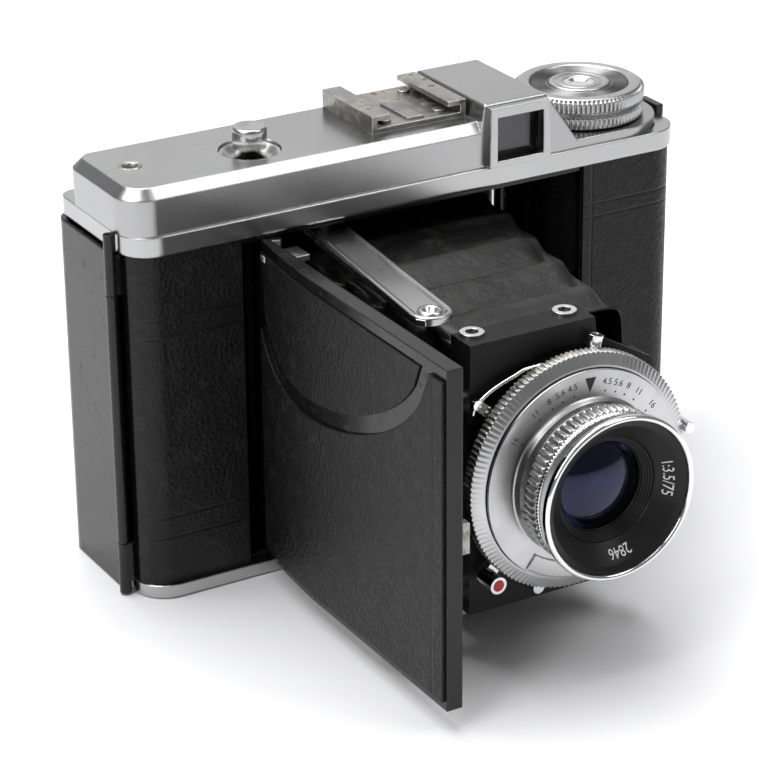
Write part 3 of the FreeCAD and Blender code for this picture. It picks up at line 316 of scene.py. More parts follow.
def turned_metal(name, centre, plane, base=0.66, rough=0.22, pitch=0.22):
    """Metal faced on a lathe: fine rings about the axis, with a soft cloud of handling over them, and a
    painted sheen: two bright and two dark sectors round the axis, painted into the colour in place of the
    highlight the turning marks catch.
    """
    f = Finish(name, metallic=1.0)
    first, second = (f.x, f.y) if plane == "z" else (f.x, f.z)
    a, b = first - centre[0] * MM, second - centre[1] * MM
    radius = (a * a + b * b) ** 0.5
    rings = (radius * (2 * math.pi / (pitch * MM))).wave()
    uneven = f.noise(2600.0, 2.0)
    cloud = f.noise(120.0, 4.0)
    specks = (1.0 - f.cells(800.0)).step(0.93, 0.985) * cloud.step(0.45, 0.6)
    turn = f.node("ShaderNodeMath", {"operation": "ARCTAN2"}, {0: b, 1: a})
    # painted sheen: bright and dark sectors round the axis in the base colour, standing in for the turned
    # face's highlight
    painted_sheen = (turn * 2.0 + 0.4).wave() * 0.5 + 0.5
    tone = f.mix(painted_sheen * cloud.step(0.2, 0.8), grey(base * 0.72), grey(base))
    tone = f.mix(specks * 0.8, tone, (0.2, 0.18, 0.15, 1))
    gloss = rough + 0.12 * (cloud - 0.4) + 0.05 * uneven
    height = rings * 0.5 + uneven * 0.6 - specks
    return f.use(base_color=tone, roughness=gloss, normal=f.bump(height, 0.006, 0.6, f.soft_edges(0.12)))


def coated_glass(name, tint, sheen=(1, 1, 1, 1)):
    """Clear lens glass, its coating a tint in the reflection, with a few dust specks."""
    f = Finish(name, ior=1.6, transmission_weight=1.0)
    f.shader.inputs["Base Color"].default_value = tint
    f.shader.inputs["Specular Tint"].default_value = sheen
    haze = f.noise(180.0, 3.0)
    dust = (1.0 - f.cells(900.0)).step(0.97, 0.99)
    return f.use(roughness=0.015 + 0.03 * haze.step(0.5, 0.8) + 0.2 * dust)


def ink(name, colour, rough=0.5):
    """Paint filled into figures, with slight wear."""
    f = Finish(name)
    wear = f.noise(2500.0, 3.0)
    tone = f.mix(wear.step(0.35, 0.75) * 0.35, colour, tuple(c * 0.6 + 0.05 for c in colour[:3]) + (1.0,))
    return f.use(base_color=tone, roughness=rough + 0.2 * (wear - 0.5), normal=f.bump(wear, 0.01, 0.4))


M = {
    "cover": satin_chrome("satin_chrome_cover", 0.43, 0.27, 0.45),
    "band": satin_chrome("satin_chrome_band", 0.48, 0.22, 0.5),
    "polished": bright_chrome("polished_chrome"),
    "ring": turned_metal("shutter_ring_metal", (0.0, LENS_Z), "y", 0.66, 0.26, 0.35),
    "knob": turned_metal("knob_metal", (KNOB_X, 0.0), "z", 0.62, 0.24, 0.28),
    "grip": tarnished("grimy_knurl"),
    "dark_dial": turned_metal("dark_dial_metal", (KNOB_X, 0.0), "z", 0.26, 0.34, 0.28),
    "tarnish": tarnished("tarnished_plate"),
    "strut": satin_chrome("strut_steel", 0.50, 0.27, 0.3),
    "enamel": enamel("black_enamel"),
    "back": enamel("back_shell_enamel", 0.12, 0.6, 0.3),
    "matt": matt_black("matt_black_paint"),
    "barrel": matt_black("barrel_black", 0.010, 0.38, 0.15),
    "inside": matt_black("inner_black", 0.008, 0.7, 0.1),
    "leather_left": leathercloth("leathercloth_left", (58.3, 54.6, 17.2, 12.9)),
    "leather_right": leathercloth("leathercloth_right", (62.5, 59.7, 17.2, 12.9), (40.5,)),
    "leather_door": leathercloth("leathercloth_door", across=(-81.5,)),
    "leather_back": leathercloth("leathercloth_back", (58.3, 54.6, 17.2, 12.9)),
    "bellows": bellows_cloth("bellows_leathercloth"),
    "glass": coated_glass("coated_glass", (0.07, 0.09, 0.27, 1), (0.55, 0.60, 1.0, 1)),
    "pane": coated_glass("finder_pane", (0.45, 0.45, 0.50, 1)),
    "red": coated_glass("red_window_glass", (0.5, 0.01, 0.01, 1)),
    "figure_ring": turned_metal("figure_ring_metal", (0.0, LENS_Z), "y", 0.34, 0.30, 0.30),
    "ink": ink("black_figures", grey(0.012)),
    "white": ink("white_figures", grey(0.75)),
    "red_paint": ink("red_dot_paint", (0.55, 0.012, 0.008, 1.0), 0.3),
}

NODE_FINISH = {
    "cover": ["top_cover"],
    "band": ["top_band", "base_plate", "finder_frame"],
    "polished": ["cable_socket", "release_button", "wind_shaft", "cocking_lever",
                 "self_timer_lever", "aperture_lever", "release_lever", "flash_socket", "strut_rivet",
                 "board_rivets", "film_roller_left", "film_roller_right", "front_bezel", "speed_ring"],
    "knob": ["wind_knob", "film_dial"],
    "ring": ["dial_plate"],
    "tarnish": ["accessory_shoe", "shoe_spring", "shoe_screws", "casting_pins", "tripod_bush",
                "door_rail", "door_slider", "door_catch", "door_hinge"],
    "strut": ["strut_upper", "strut_lower", "button_dish"],
    "glass": ["front_lens", "rear_lens"],
    "pane": ["finder_glass", "eyepiece_lens"],
    "red": ["red_window"],
    "inside": ["finder_tunnel", "shutter_blades", "pressure_plate", "rear_cell", "take_up_spool"],
    "back": ["back_door", "back_hinge", "back_latch"],
    "enamel": ["body_casting", "front_door"],
    "matt": ["lens_board", "shutter_housing", "window_frame", "window_cover", "bellows"],
    "barrel": ["focus_ring", "lens_hood"],
    "leather_left": ["leather_left"],
    "leather_right": ["leather_right"],
    "leather_door": ["door_leather", "door_crescent"],
    "leather_back": ["back_leather"],
}

for finish, nodes in NODE_FINISH.items():
    for node in nodes:
        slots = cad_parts[node].data.materials
        slots.clear()
        slots.append(M[finish])


# ---------------------------------------------------------------- meshes

def volume_of(points, faces):
    """Signed volume inside quads: a sixth of the sum of the corner triple products of their two halves."""
    total = 0.0
    for a, b, c in ((0, 1, 2), (0, 2, 3)):
        p, q, r = points[faces[:, a]], points[faces[:, b]], points[faces[:, c]]
        total += np.einsum("ij,ij->i", p, np.cross(q, r)).sum() / 6
    return total


def piece(name, points, faces, material, body, stands_for=(), smooth=True, poles=False):
    """Puts points in mm and quads into a mesh that faces outward and rides on a body."""
    if volume_of(points, faces) < 0:
        faces = faces[:, ::-1]
    mesh = bpy.data.meshes.new(name)
    mesh.from_pydata((points * MM).tolist(), [], faces.tolist())
    if poles:
        work = bmesh.new()
        work.from_mesh(mesh)
        bmesh.ops.remove_doubles(work, verts=work.verts, dist=1e-7)
        work.to_mesh(mesh)
        work.free()
    mesh.polygons.foreach_set("use_smooth", [smooth] * len(mesh.polygons))
    mesh.materials.append(material)
    made = bpy.data.objects.new(name, mesh)
    bpy.context.scene.collection.objects.link(made)
    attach(made, body)
    if stands_for:
        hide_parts(*stands_for)
    return made


def quads(rows, cols, wrap_rows, wrap_cols):
    """Quads between neighbours on a grid of points, row by row, closed on the sides that wrap."""
    i = np.arange(rows if wrap_rows else rows - 1)
    j = np.arange(cols if wrap_cols else cols - 1)
    i, j = [k.ravel() for k in np.meshgrid(i, j, indexing="ij")]
    down, right = (i + 1) % rows, (j + 1) % cols
    return np.stack([i * cols + j, i * cols + right, down * cols + right, down * cols + j], 1)


def eased(profile, radius=0.2):
    """Rounds each corner of a closed outline: a quadratic curve from just before it to just after."""
    points = np.array(profile, float)
    before, after = np.roll(points, 1, 0), np.roll(points, -1, 0)
    into, out = before - points, after - points
    reach_in = np.minimum(radius, 0.4 * np.linalg.norm(into, axis=1))[:, None]
    reach_out = np.minimum(radius, 0.4 * np.linalg.norm(out, axis=1))[:, None]
    start = points + into / np.linalg.norm(into, axis=1)[:, None] * reach_in
    end = points + out / np.linalg.norm(out, axis=1)[:, None] * reach_out
    t = np.linspace(0, 1, EASE_POINTS)[None, :, None]
    curve = (1 - t) ** 2 * start[:, None] + 2 * t * (1 - t) * points[:, None] + t ** 2 * end[:, None]
    return curve.reshape(-1, 2)


def turned(name, body, material, profile, centre, axis="y", segments=160, teeth=0, depth=0.0,
           toothed=None, ease=0.15, stands_for=()):
    """A closed outline of (radius, along) carried round an axis: each point runs a circle of its radius.
    Where it is toothed, the radius drops by depth times a clipped cosine of teeth turns."""
    outline = eased(profile, ease) if ease else np.array(profile, float)
    radius, along = outline[:, 0], outline[:, 1]
    turn = np.linspace(0, 2 * np.pi, segments, endpoint=False)
    reach = np.repeat(radius[:, None], segments, 1)
    if teeth:
        low, high, least = toothed
        cut = (along >= low) & (along <= high) & (radius >= least)
        wave = np.clip(0.5 - 0.9 * np.cos(turn * teeth), 0, 1)
        reach = reach - depth * cut[:, None] * wave[None, :]
    flat = np.repeat(along[:, None], segments, 1)
    side, up = reach * np.cos(turn), reach * np.sin(turn)
    if axis == "y":
        points = np.stack([centre[0] + side, flat, centre[1] + up], -1)
    else:
        points = np.stack([centre[0] + side, centre[1] + up, flat], -1)
    return piece(name, points.reshape(-1, 3), quads(len(outline), segments, True, True), material, body,
                 stands_for, poles=bool((radius < 1e-6).any()))


def figures(name, body, material, words, angles, radius, size, place):
    """Printed figures bent round an axis: a letter's width turns into angle and its height into radius
    or, on a barrel, into distance along the axis. place(angle, height, depth) gives points from them."""
    sheets, faces, count = [], [], 0
    for word, angle in zip(words, angles):
        text = bpy.data.curves.new(name + "_text", "FONT")
        text.body = word
        text.size = size
        text.align_x = "CENTER"
        text.align_y = "CENTER"
        text.extrude = FACE_UP
        text.resolution_u = 3
        holder = bpy.data.objects.new(name + "_text", text)
        mesh = bpy.data.meshes.new_from_object(holder)
        flat = np.zeros(len(mesh.vertices) * 3)
        mesh.vertices.foreach_get("co", flat)
        flat = flat.reshape(-1, 3)
        sheets.append(place(np.radians(angle), flat[:, 0], flat[:, 1], flat[:, 2], radius))
        faces += [[v + count for v in p.vertices] for p in mesh.polygons]
        count += len(flat)
        bpy.data.objects.remove(holder)
        bpy.data.curves.remove(text)
        bpy.data.meshes.remove(mesh)
    mesh = bpy.data.meshes.new(name)
    mesh.from_pydata((np.concatenate(sheets) * MM).tolist(), [], faces)
    work = bmesh.new()
    work.from_mesh(mesh)
    bmesh.ops.remove_doubles(work, verts=work.verts, dist=1e-8)
    bmesh.ops.recalc_face_normals(work, faces=work.faces)
    work.to_mesh(mesh)
    work.free()
    mesh.materials.append(material)
    made = bpy.data.objects.new(name, mesh)
    bpy.context.scene.collection.objects.link(made)
    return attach(made, body)


def on_face(front):
    """Figures on a face that looks along -Y, their feet towards the lens axis."""
    def place(angle, across, up, deep, radius):
        turn = angle - across / radius
        reach = radius + up
        return np.stack([reach * np.cos(turn), front - deep, LENS_Z + reach * np.sin(turn)], -1)
    return place


def on_cone(rim_y, slope):
    """Figures on a shallow cone round the lens, their feet towards the axis."""
    def place(angle, across, up, deep, radius):
        turn = angle - across / radius
        reach = radius + up
        return np.stack([reach * np.cos(turn), rim_y + slope * (reach - radius) - deep,
                         LENS_Z + reach * np.sin(turn)], -1)
    return place


def on_barrel(middle):
    """Figures on a round wall about the lens axis, read from in front, their heads to the rear."""
    def place(angle, across, up, deep, radius):
        turn = angle - across / radius
        reach = radius + deep
        return np.stack([reach * np.cos(turn), middle + up, LENS_Z + reach * np.sin(turn)], -1)
    return place


def curved_plate(name, body, material, reach, angles, deep):
    """A strip of a flat ring about the lens axis: a four-cornered section carried along an arc."""
    turn = np.radians(np.linspace(angles[0], angles[1], 40))
    inner, outer = reach
    front, back = deep
    section = eased([(inner, back), (inner, front), (outer, front), (outer, back)], 0.15)
    rings = [np.stack([section[:, 0] * math.cos(a), section[:, 1], LENS_Z + section[:, 0] * math.sin(a)], 1)
             for a in turn]
    return capped(name, body, material, rings)


def capped(name, body, material, rings):
    """A skin over a row of equal rings of points, with each end drawn in to the middle of its ring."""
    rings = [np.repeat(rings[0].mean(0)[None], len(rings[0]), 0)] + list(rings)
    rings.append(np.repeat(rings[-1].mean(0)[None], len(rings[0]), 0))
    return piece(name, np.concatenate(rings), quads(len(rings), len(rings[0]), False, True), material, body,
                 poles=True)


def wire(name, body, material, path, thick):
    """A round wire: a circle carried along a path smoothed by cubic curves through its points."""
    path = np.array(path, float)
    full = np.concatenate([path[:1] * 2 - path[1:2], path, path[-1:] * 2 - path[-2:-1]])
    line = []
    for a, b, c, d in zip(full[:-3], full[1:-2], full[2:-1], full[3:]):
        t = np.linspace(0, 1, 10, endpoint=False)[:, None]
        line.append(0.5 * (2 * b + (c - a) * t + (2 * a - 5 * b + 4 * c - d) * t ** 2
                           + (3 * b - a - 3 * c + d) * t ** 3))
    line = np.concatenate(line + [path[-1:]])
    along = np.gradient(line, axis=0)
    along /= np.linalg.norm(along, axis=1)[:, None]
    side = np.cross(along, (0.0, 1.0, 0.02))
    side /= np.linalg.norm(side, axis=1)[:, None]
    up = np.cross(side, along)
    turn = np.linspace(0, 2 * np.pi, 20, endpoint=False)
    rings = [p + thick * (np.cos(turn)[:, None] * u + np.sin(turn)[:, None] * v)
             for p, u, v in zip(line, side, up)]
    return capped(name, body, material, rings)


def slot_ring(name, body, material, start, end, radii, section):
    """A section of (reach, height) carried round a slot: its radius eases from one end's to the other's."""
    start, end = np.array(start, float), np.array(end, float)
    along = end - start
    length = np.linalg.norm(along)
    along /= length
    across = np.array([-along[1], along[0]])
    turn = np.linspace(0, np.pi, 28)
    rim = [(start, a + np.pi / 2, radii[0]) for a in turn]
    rim += [(end, a - np.pi / 2, radii[1]) for a in turn]
    rings = []
    for centre, angle, radius in rim:
        way = along * math.cos(angle) + across * math.sin(angle)
        rings.append(np.array([[*(centre + way * (radius + reach)), height] for reach, height in section]))
    points = np.stack(rings)
    return piece(name, points.reshape(-1, 3), quads(len(rings), len(section), True, True), material, body)


# ---------------------------------------------------------------- shutter and lens

def make_shutter():
    """The shutter's face: a knurled, bevelled speed ring round a dial with a depth-of-field scale."""
    ring_front, ring_rear = float(RING_LOW[1]), float(RING_HIGH[1])
    face = float(DIAL_HIGH[1]) - 0.6
    axis = (0.0, LENS_Z)
    bevel = ring_front + 1.1
    turned("speed_ring_bevel", "speeds", M["ring"],
           [(RING_BORE, bevel + 0.4), (RING_R - 0.1, bevel + 0.4), (RING_R, bevel + 0.3), (RING_R, bevel),
            (21.1, ring_front + 0.1), (RING_BORE, ring_front)], axis, segments=552, teeth=138, depth=0.34,
           toothed=(ring_front + 0.9, ring_rear, RING_R - 0.3), ease=0.08, stands_for=["speed_ring"])
    turned("speed_ring_grip", "speeds", M["grip"],
           [(RING_BORE, ring_rear), (RING_R - 0.4, ring_rear), (RING_R - 0.08, ring_rear - 0.4),
            (RING_R - 0.08, bevel + 0.4), (RING_BORE, bevel + 0.4)],
           axis, segments=552, teeth=138, depth=0.4, toothed=(ring_front, ring_rear, RING_R - 0.5),
           ease=0.08)
    turned("dial_plate_turned", "board", M["ring"],
           [(20.60, face + 0.6), (20.60, face), (15.4, face), (15.15, face - 0.2), (14.3, DIAL_LOW[1]),
            (13.2, DIAL_LOW[1]), (13.2, face + 0.2), (9.7, face + 0.2), (9.7, face + 0.6)],
           axis, segments=192, stands_for=["dial_plate"])
    words = ["16", "11", "8", "5.6", "4.5", "4.5", "5.6", "8", "11", "16"]
    angles = [145.6, 126.2, 115.6, 107.6, 99.0, 75.2, 67.0, 59.2, 50.4, 36.3]
    figures("depth_figures", "board", M["ink"], words, angles, 18.2, 1.75, on_face(face))
    figures("depth_marks", "board", M["ink"], ["."] * len(angles), angles, 17.3, 3.4, on_face(face))
    curved_plate("name_strip_blank", "board", M["band"], (17.0, 20.3), (-128.0, -88.0), (face - 0.25, face))
    pointer = np.array([[-1.2, 19.2], [1.2, 19.2], [0.0, 16.3], [0.0, 16.3]])
    turn = math.radians(-3)
    flat = np.stack([pointer[:, 0] * math.cos(turn) - pointer[:, 1] * math.sin(turn),
                     pointer[:, 0] * math.sin(turn) + pointer[:, 1] * math.cos(turn)], 1)
    points = np.concatenate([np.stack([flat[:, 0], np.full(4, face - FACE_UP * k), LENS_Z + flat[:, 1]], 1)
                             for k in (0, 1)])
    sides = np.array([[0, 1, 5, 4], [1, 2, 6, 5], [3, 0, 4, 7], [0, 1, 2, 3], [7, 6, 5, 4]])
    piece("dial_pointer", points, sides, M["ink"], "board", smooth=False, poles=True)


def make_lens():
    """The focusing barrel from the front back: rim, fine and coarse knurls, figure ring, hood and glass."""
    axis = (0.0, LENS_Z)
    y = float(RIM_LOW[1])
    rim = float(RIM_HIGH[0])
    turned("front_rim", "focus", M["polished"],
           [(15.0, y + 0.3), (15.35, y), (15.75, y), (rim, y + 0.4), (rim, y + 1.3), (rim - 0.9, y + 3.9),
            (rim - 1.1, y + 4.1), (rim - 0.75, y + 4.25), (rim - 0.75, y + 5.0), (15.0, y + 5.0)],
           axis, segments=540, teeth=135, depth=0.16, toothed=(y + 4.2, y + 5.0, rim - 0.9), ease=0.2,
           stands_for=["front_bezel"])
    grip = float(span("focus_ring")[1][0])
    front = y + 5.0
    turned("focus_grip", "focus", M["ring"],
           [(BARREL_BORE, front), (grip - 0.6, front), (grip - 0.6, front + 0.25),
            (grip - 0.1, front + 0.35), (grip, front + 0.5), (grip, front + 3.2),
            (grip - 0.3, front + 3.5), (BARREL_BORE, front + 3.5)],
           axis, segments=396, teeth=66, depth=0.45, toothed=(front + 0.3, front + 3.3, grip - 0.2),
           ease=0.08, stands_for=["focus_ring"])
    turned("distance_ring", "focus", M["figure_ring"],
           [(BARREL_BORE, front + 3.5), (grip - 0.5, front + 3.5), (grip - 0.3, front + 3.7),
            (grip - 0.3, front + 5.3), (grip - 0.4, front + 5.4), (BARREL_BORE, front + 5.4)],
           axis, segments=192, ease=0.08)
    distances = {"10": 170, "12": 150, "15": 128, "20": 104, "30": 78,
                 "3": -76, "3.5": -100, "4": -122, "5": -144, "6": -164, "8": 190}
    figures("distance_figures", "focus", M["ink"], list(distances), list(distances.values()), grip - 0.3,
            1.55, on_barrel(front + 4.5))
    steps = []
    for k in range(5):
        r, d = 10.2 - 0.32 * k, y + 4.6 + 0.42 * k
        steps += [(r, d), (r - 0.10, d + 0.36)]
    outline = [(14.95, y + 0.7), (14.95, y + 4.9), (13.2, y + 5.0), (13.2, y + 7.9), (9.95, y + 7.9),
               (9.95, y + 10.0), (8.62, y + 10.0), (8.62, y + 6.9)]
    outline += steps[::-1] + [(10.4, y + 4.3), (13.7, y + 1.35)]
    turned("lens_hood_turned", "focus", M["barrel"], outline, axis, segments=160, ease=0.06,
           stands_for=["lens_hood"])
    slope = (1.35 - 4.3) / (13.7 - 10.4)
    figures("lens_figures", "focus", M["white"], ["1:3.5/75", "2846"], [2, -82],
            12.1, 2.3, on_cone(y + 4.3 + slope * (12.1 - 10.4), slope))
    edge = float(span("front_lens")[1][0])
    r = np.linspace(0, edge, 26)
    dome = y + 5.0 + 17.0 - np.sqrt(17.0 ** 2 - r ** 2)
    glass = np.concatenate([np.stack([r, dome], 1), [[edge, y + 9.3], [0.0, y + 9.3]]])
    turned("front_lens_polished", "focus", M["glass"], glass, axis, segments=96, ease=0.0,
           stands_for=["front_lens"])
    dot = float(span("self_timer_lever")[0][1])
    angle = math.radians(226.5)
    centre = (25.6 * math.cos(angle), LENS_Z + 25.6 * math.sin(angle))
    turned("timer_dot", "timer", M["red_paint"],
           [(0.0, dot - 0.12), (1.0, dot - 0.1), (1.15, dot), (1.15, dot + 0.3), (0.0, dot + 0.3)],
           centre, segments=48, ease=0.0)


# ---------------------------------------------------------------- top controls

def make_knob():
    """The winding knob: two knurled bands with a bead between, and a grooved dial sunk in its top."""
    low, top = float(KNOB_LOW[2]), float(KNOB_HIGH[2])
    axis = (KNOB_X, 0.0)
    turned("winding_knob", "winder", M["knob"],
           [(DIAL_INNER, low), (KNOB_R - 0.5, low), (KNOB_R - 0.1, low + 0.3), (KNOB_R - 0.1, low + 2.1),
            (KNOB_R - 0.6, low + 2.3), (KNOB_R - 1.3, low + 2.45), (KNOB_R - 1.0, low + 2.8),
            (KNOB_R - 1.3, low + 3.15), (KNOB_R - 0.6, low + 3.3), (KNOB_R, low + 3.5),
            (KNOB_R, top - 0.75), (KNOB_R - 0.5, top - 0.35), (KNOB_R - 1.0, top), (10.3, top),
            (9.95, top - 0.25), (9.95, top - 0.95), (DIAL_INNER, top - 0.95)],
           axis, "z", segments=504, teeth=84, depth=0.5, toothed=(low + 0.1, top - 0.3, KNOB_R - 0.62),
           ease=0.1, stands_for=["wind_knob"])
    face = float(span("film_dial")[1][2]) - 0.15
    base = float(span("film_dial")[0][2])
    ridges = []
    for k in range(7):
        r = 9.75 - 0.46 * k
        ridges += [(r, face), (r - 0.26, face - 0.3)]
    outline = [(3.9, base), (9.85, base), (9.85, face - 0.2)] + ridges + \
              [(6.4, face - 0.1), (6.2, face - 0.3), (3.9, face - 0.3)]
    turned("film_dial_turned", "reminder", M["dark_dial"], outline, axis, "z", segments=160, ease=0.05,
           stands_for=["film_dial"])
    crown = face + 0.15
    turned("knob_disc", "winder", M["knob"],
           [(0.0, crown - 0.75), (2.9, crown - 0.75), (3.1, crown - 0.1), (3.3, crown), (4.5, crown),
            (4.7, crown - 0.18), (4.9, crown), (5.9, crown), (6.15, crown - 0.2), (6.15, crown - 0.42),
            (0.0, crown - 0.9)], axis, "z", segments=96, ease=0.0)
    turned("knob_recess", "winder", M["barrel"],
           [(0.0, crown - 0.6), (1.5, crown - 0.55), (2.7, crown - 0.6), (2.7, crown - 0.7),
            (0.0, crown - 0.7)], axis, "z", segments=48, ease=0.0)


def make_strut():
    """The upper strut is pressed: a raised rim runs round a sunk panel, and the rivet is an eyelet."""
    low, high = span("strut_upper")
    under, top = float(low[2]), float(high[2])
    tip_low, tip_high = span("strut_rivet")
    tip = (tip_low[:2] + tip_high[:2]) / 2
    root = (float(high[0]) - STRUT_EDGE, float(high[1]) - STRUT_ROUND)
    section = eased([(0.0, under), (0.0, top + 0.2), (-0.25, top + 0.42), (-0.8, top + 0.42),
                     (-1.5, top - 0.02), (-1.6, top - 0.3), (-1.6, under)], 0.15)
    slot_ring("strut_upper_rim", "strut_top", M["strut"], root, tip, (STRUT_ROUND + 0.3, 4.0), section)
    lift = float(tip_high[2])
    turned("strut_eyelet", "strut_top", M["strut"],
           [(0.0, top - 0.5), (0.9, top - 0.45), (1.2, lift - 0.2), (1.6, lift), (2.2, lift - 0.1),
            (2.45, top), (2.45, top - 0.6), (0.0, top - 0.8)], tip, "z", segments=64, ease=0.0,
           stands_for=["strut_rivet"])


def make_release():
    """The release is a bent wire that runs from behind the shutter up to the corner of the lens board."""
    y = float(span("lens_board")[0][1]) - 1.6
    wire("release_wire", "release_arm", M["polished"],
         [(-20.2, y, 51.2), (-19.6, y, 52.7), (-17.0, y - 0.2, 54.9), (-14.2, y - 0.4, 56.3),
          (-11.6, y - 0.5, 57.2), (-9.5, y - 0.5, 57.9), (-5.5, y - 0.5, 58.1)], 0.42)


def make_button():
    """The release button in its pressed dish, and the cable release socket."""
    low, high = span("release_button")
    cx, cy = float(low[0] + high[0]) / 2, float(low[1] + high[1]) / 2
    r, top = float(high[0] - low[0]) / 2, float(high[2])
    turned("release_button_turned", "release", M["band"],
           [(0.0, top - 0.45), (1.9, top - 0.35), (r - 0.5, top), (r - 0.15, top - 0.1), (r, top - 0.5),
            (r, top - 4.15), (2.95, top - 4.25), (2.95, float(low[2])), (0.0, float(low[2]))],
           (cx, cy), "z", segments=96, ease=0.0, stands_for=["release_button"])
    low, high = span("button_dish")
    r, top, base = float(high[0] - low[0]) / 2, float(high[2]), float(low[2])
    turned("button_dish_pressed", "body", M["strut"],
           [(r, base), (r, top - 0.1), (r - 0.3, top), (r - 0.8, top - 0.25), (r - 1.7, top - 1.1),
            (r - 2.4, top - 1.4), (3.05, top - 1.45), (3.05, base)], (cx, cy), "z", segments=96, ease=0.0,
           stands_for=["button_dish"])
    low, high = span("cable_socket")
    cx, cy = float(low[0] + high[0]) / 2, float(low[1] + high[1]) / 2
    r, top, base = float(high[0] - low[0]) / 2, float(high[2]), float(low[2])
    turned("cable_socket_turned", "body", M["grip"],
           [(r, base), (r, top - 0.1), (r - 0.35, top), (1.6, top - 0.1), (1.35, top - 0.4), (1.35, base)],
           (cx, cy), "z", segments=64, ease=0.0, stands_for=["cable_socket"])


# ---------------------------------------------------------------- bellows

def make_bellows():
    """A tapering rounded-rectangle tube: its half sizes shrink evenly to the front, and a folded wave moves
    the wall in and out, the sides against the top, with the fold's sharp ridges outside."""
    low, high = span("bellows")
    rear, front = float(high[1]) - 0.4, float(low[1]) + 0.3
    rear_half = float(high[0]) - 0.4
    stations, around = 241, 168
    s = np.linspace(0, 1, stations)[:, None]
    t = np.linspace(0, 2 * np.pi, around, endpoint=False)[None, :]
    half_x = rear_half + (18.0 - rear_half) * s
    half_z = rear_half + (25.0 - rear_half) * s
    power = 0.16
    side = np.sign(np.cos(t)) * np.abs(np.cos(t)) ** power
    up = np.sign(np.sin(t)) * np.abs(np.sin(t)) ** power
    folds = 5.5
    phase = (s * folds + 0.35) % 1.0
    ridge = np.where(phase < 0.78, phase / 0.78, (1 - phase) / 0.22)
    ridge = ridge * ridge * (3 - 2 * ridge)
    swing = np.tanh(6 * (np.abs(np.sin(t)) ** 2 - 0.5))
    inward = np.where(swing > 0, ridge, 1 - ridge)
    inward = 0.5 + (inward - 0.5) * np.abs(swing)
    ends = np.clip(np.minimum(s, 1 - s) / 0.04, 0, 1)
    depth = 2.0 * (1 - 0.25 * s) * ends
    sag = 0.5 * np.sin(np.pi * s) * (1 + 0.5 * np.sin(9 * t + 7 * s)) * (np.abs(np.sin(t)) > 0.7)
    x = side * (half_x - depth * inward)
    z = LENS_Z + up * (half_z - depth * inward - sag)
    y = rear + (front - rear) * s + 0 * t
    points = np.stack([x + 0 * y, y, z + 0 * y], -1).reshape(-1, 3)
    mesh = bpy.data.meshes.new("bellows_folded")
    faces = quads(stations, around, False, True)
    mesh.from_pydata((points * MM).tolist(), [], faces.tolist())
    work = bmesh.new()
    work.from_mesh(mesh)
    bmesh.ops.recalc_face_normals(work, faces=work.faces)
    work.to_mesh(mesh)
    work.free()
    mesh.polygons.foreach_set("use_smooth", [True] * len(mesh.polygons))
    fold = mesh.attributes.new("fold", "FLOAT", "POINT")
    crest = np.clip(1 - np.minimum(inward, 1 - inward) * 5, 0, 1) * ends
    fold.data.foreach_set("value", (crest + 0 * y).astype(np.float32).ravel())
    mesh.materials.append(M["bellows"])
    made = bpy.data.objects.new("bellows_folded", mesh)
    bpy.context.scene.collection.objects.link(made)
    wall = made.modifiers.new("cloth", "SOLIDIFY")
    wall.thickness = 0.45 * MM
    wall.offset = -1.0
    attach(made, "body")
    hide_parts("bellows")
    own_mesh(made)
    return made


# ---------------------------------------------------------------- stage

def make_stage():
    """A pale sheet that runs flat under the camera and sweeps up behind in a quarter round."""
    mesh = bpy.data.meshes.new("floor")
    step = np.linspace(0, 1, 60)
    run = np.concatenate([np.linspace(-2.2, 1.4, 30), 1.4 + 0.8 * np.sin(step * np.pi / 2), [2.2]])
    rise = np.concatenate([np.zeros(30), 0.8 * (1 - np.cos(step * np.pi / 2)), [2.6]])
    xs = np.linspace(-3.2, 3.2, 3)
    points = np.stack([np.repeat(xs[None, :], len(run), 0), np.repeat(run[:, None], 3, 1),
                       np.repeat(rise[:, None], 3, 1)], -1).reshape(-1, 3)
    mesh.from_pydata(points.tolist(), [], quads(len(run), 3, False, False)[:, ::-1].tolist())
    mesh.polygons.foreach_set("use_smooth", [True] * len(mesh.polygons))
    f = Finish("pale_paper")
    fibre = f.noise(900.0, 4.0)
    cloud = f.noise(3.0, 3.0)
    tone = f.mix(cloud, (0.80, 0.80, 0.815, 1), (0.83, 0.83, 0.84, 1))
    f.use(base_color=tone, roughness=0.62 + 0.1 * (fibre - 0.5), normal=f.bump(fibre, 0.02, 0.3))
    mesh.materials.append(f.material)
    floor = bpy.data.objects.new("floor", mesh)
    bpy.context.scene.collection.objects.link(floor)


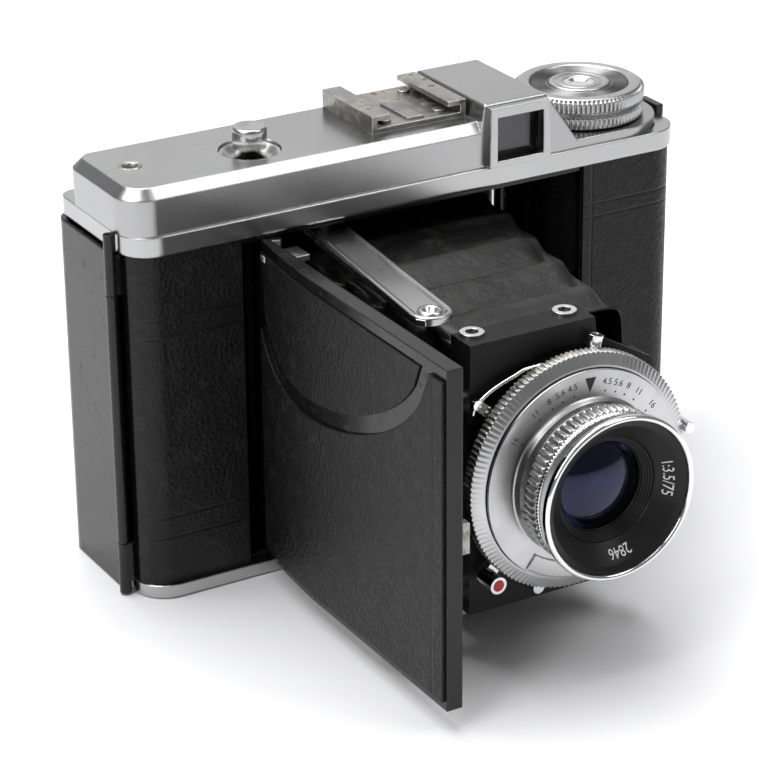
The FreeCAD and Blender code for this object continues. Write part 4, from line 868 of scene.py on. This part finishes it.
def soft_light(name, place, aim, size, power):
    lamp = bpy.data.lights.new(name, "AREA")
    lamp.shape = "RECTANGLE"
    lamp.size, lamp.size_y = size
    lamp.energy = power
    holder = bpy.data.objects.new(name, lamp)
    bpy.context.scene.collection.objects.link(holder)
    holder.location = place
    way = np.array(aim, float) - np.array(place, float)
    holder.rotation_euler = Vector(way).to_track_quat("-Z", "Y").to_euler()


def make_lights():
    world = bpy.data.worlds.new("studio")
    world.use_nodes = True
    back = world.node_tree.nodes["Background"]
    back.inputs["Color"].default_value = (0.97, 0.98, 1.0, 1)
    back.inputs["Strength"].default_value = 0.22
    bpy.context.scene.world = world
    aim = (0, 0, 0.03)
    soft_light("softbox_over", (-0.15, 0.30, 1.25), aim, (1.5, 1.0), 25.0)
    soft_light("softbox_left", (-1.1, -0.35, 0.85), aim, (0.7, 0.8), 6.5)
    soft_light("softbox_front", (0.56, -0.50, 0.98), aim, (0.55, 0.55), 3.2)
    soft_light("softbox_behind", (0.75, 1.30, 0.68), aim, (1.7, 1.0), 3.0)


def make_camera():
    """The camera looks at a point on the body from a bearing, height and distance, with a small roll."""
    bearing, height, roll = [math.radians(a) for a in (CAMERA_BEARING, CAMERA_HEIGHT, CAMERA_ROLL)]
    back = np.array([math.sin(bearing) * math.cos(height), -math.cos(bearing) * math.cos(height),
                     math.sin(height)])
    right = np.array([math.cos(bearing), math.sin(bearing), 0.0])
    up = np.cross(back, right)
    right, up = (right * math.cos(roll) + up * math.sin(roll), up * math.cos(roll) - right * math.sin(roll))
    place = np.array(CAMERA_TARGET) + back * CAMERA_DISTANCE
    lens = bpy.data.cameras.new("camera")
    lens.sensor_width = SENSOR_WIDTH
    lens.lens = SENSOR_WIDTH * CAMERA_ZOOM
    lens.clip_start, lens.clip_end = 0.01, 20.0
    camera = bpy.data.objects.new("camera", lens)
    bpy.context.scene.collection.objects.link(camera)
    turn = np.eye(4)
    turn[:3, 0], turn[:3, 1], turn[:3, 2], turn[:3, 3] = right, up, back, place * MM
    camera.matrix_world = Matrix(turn.tolist())
    bpy.context.scene.camera = camera


bpy.context.scene.view_settings.view_transform = "Standard"
make_shutter()
make_lens()
make_knob()
make_strut()
make_release()
make_button()
make_bellows()
make_stage()
make_lights()
make_camera()
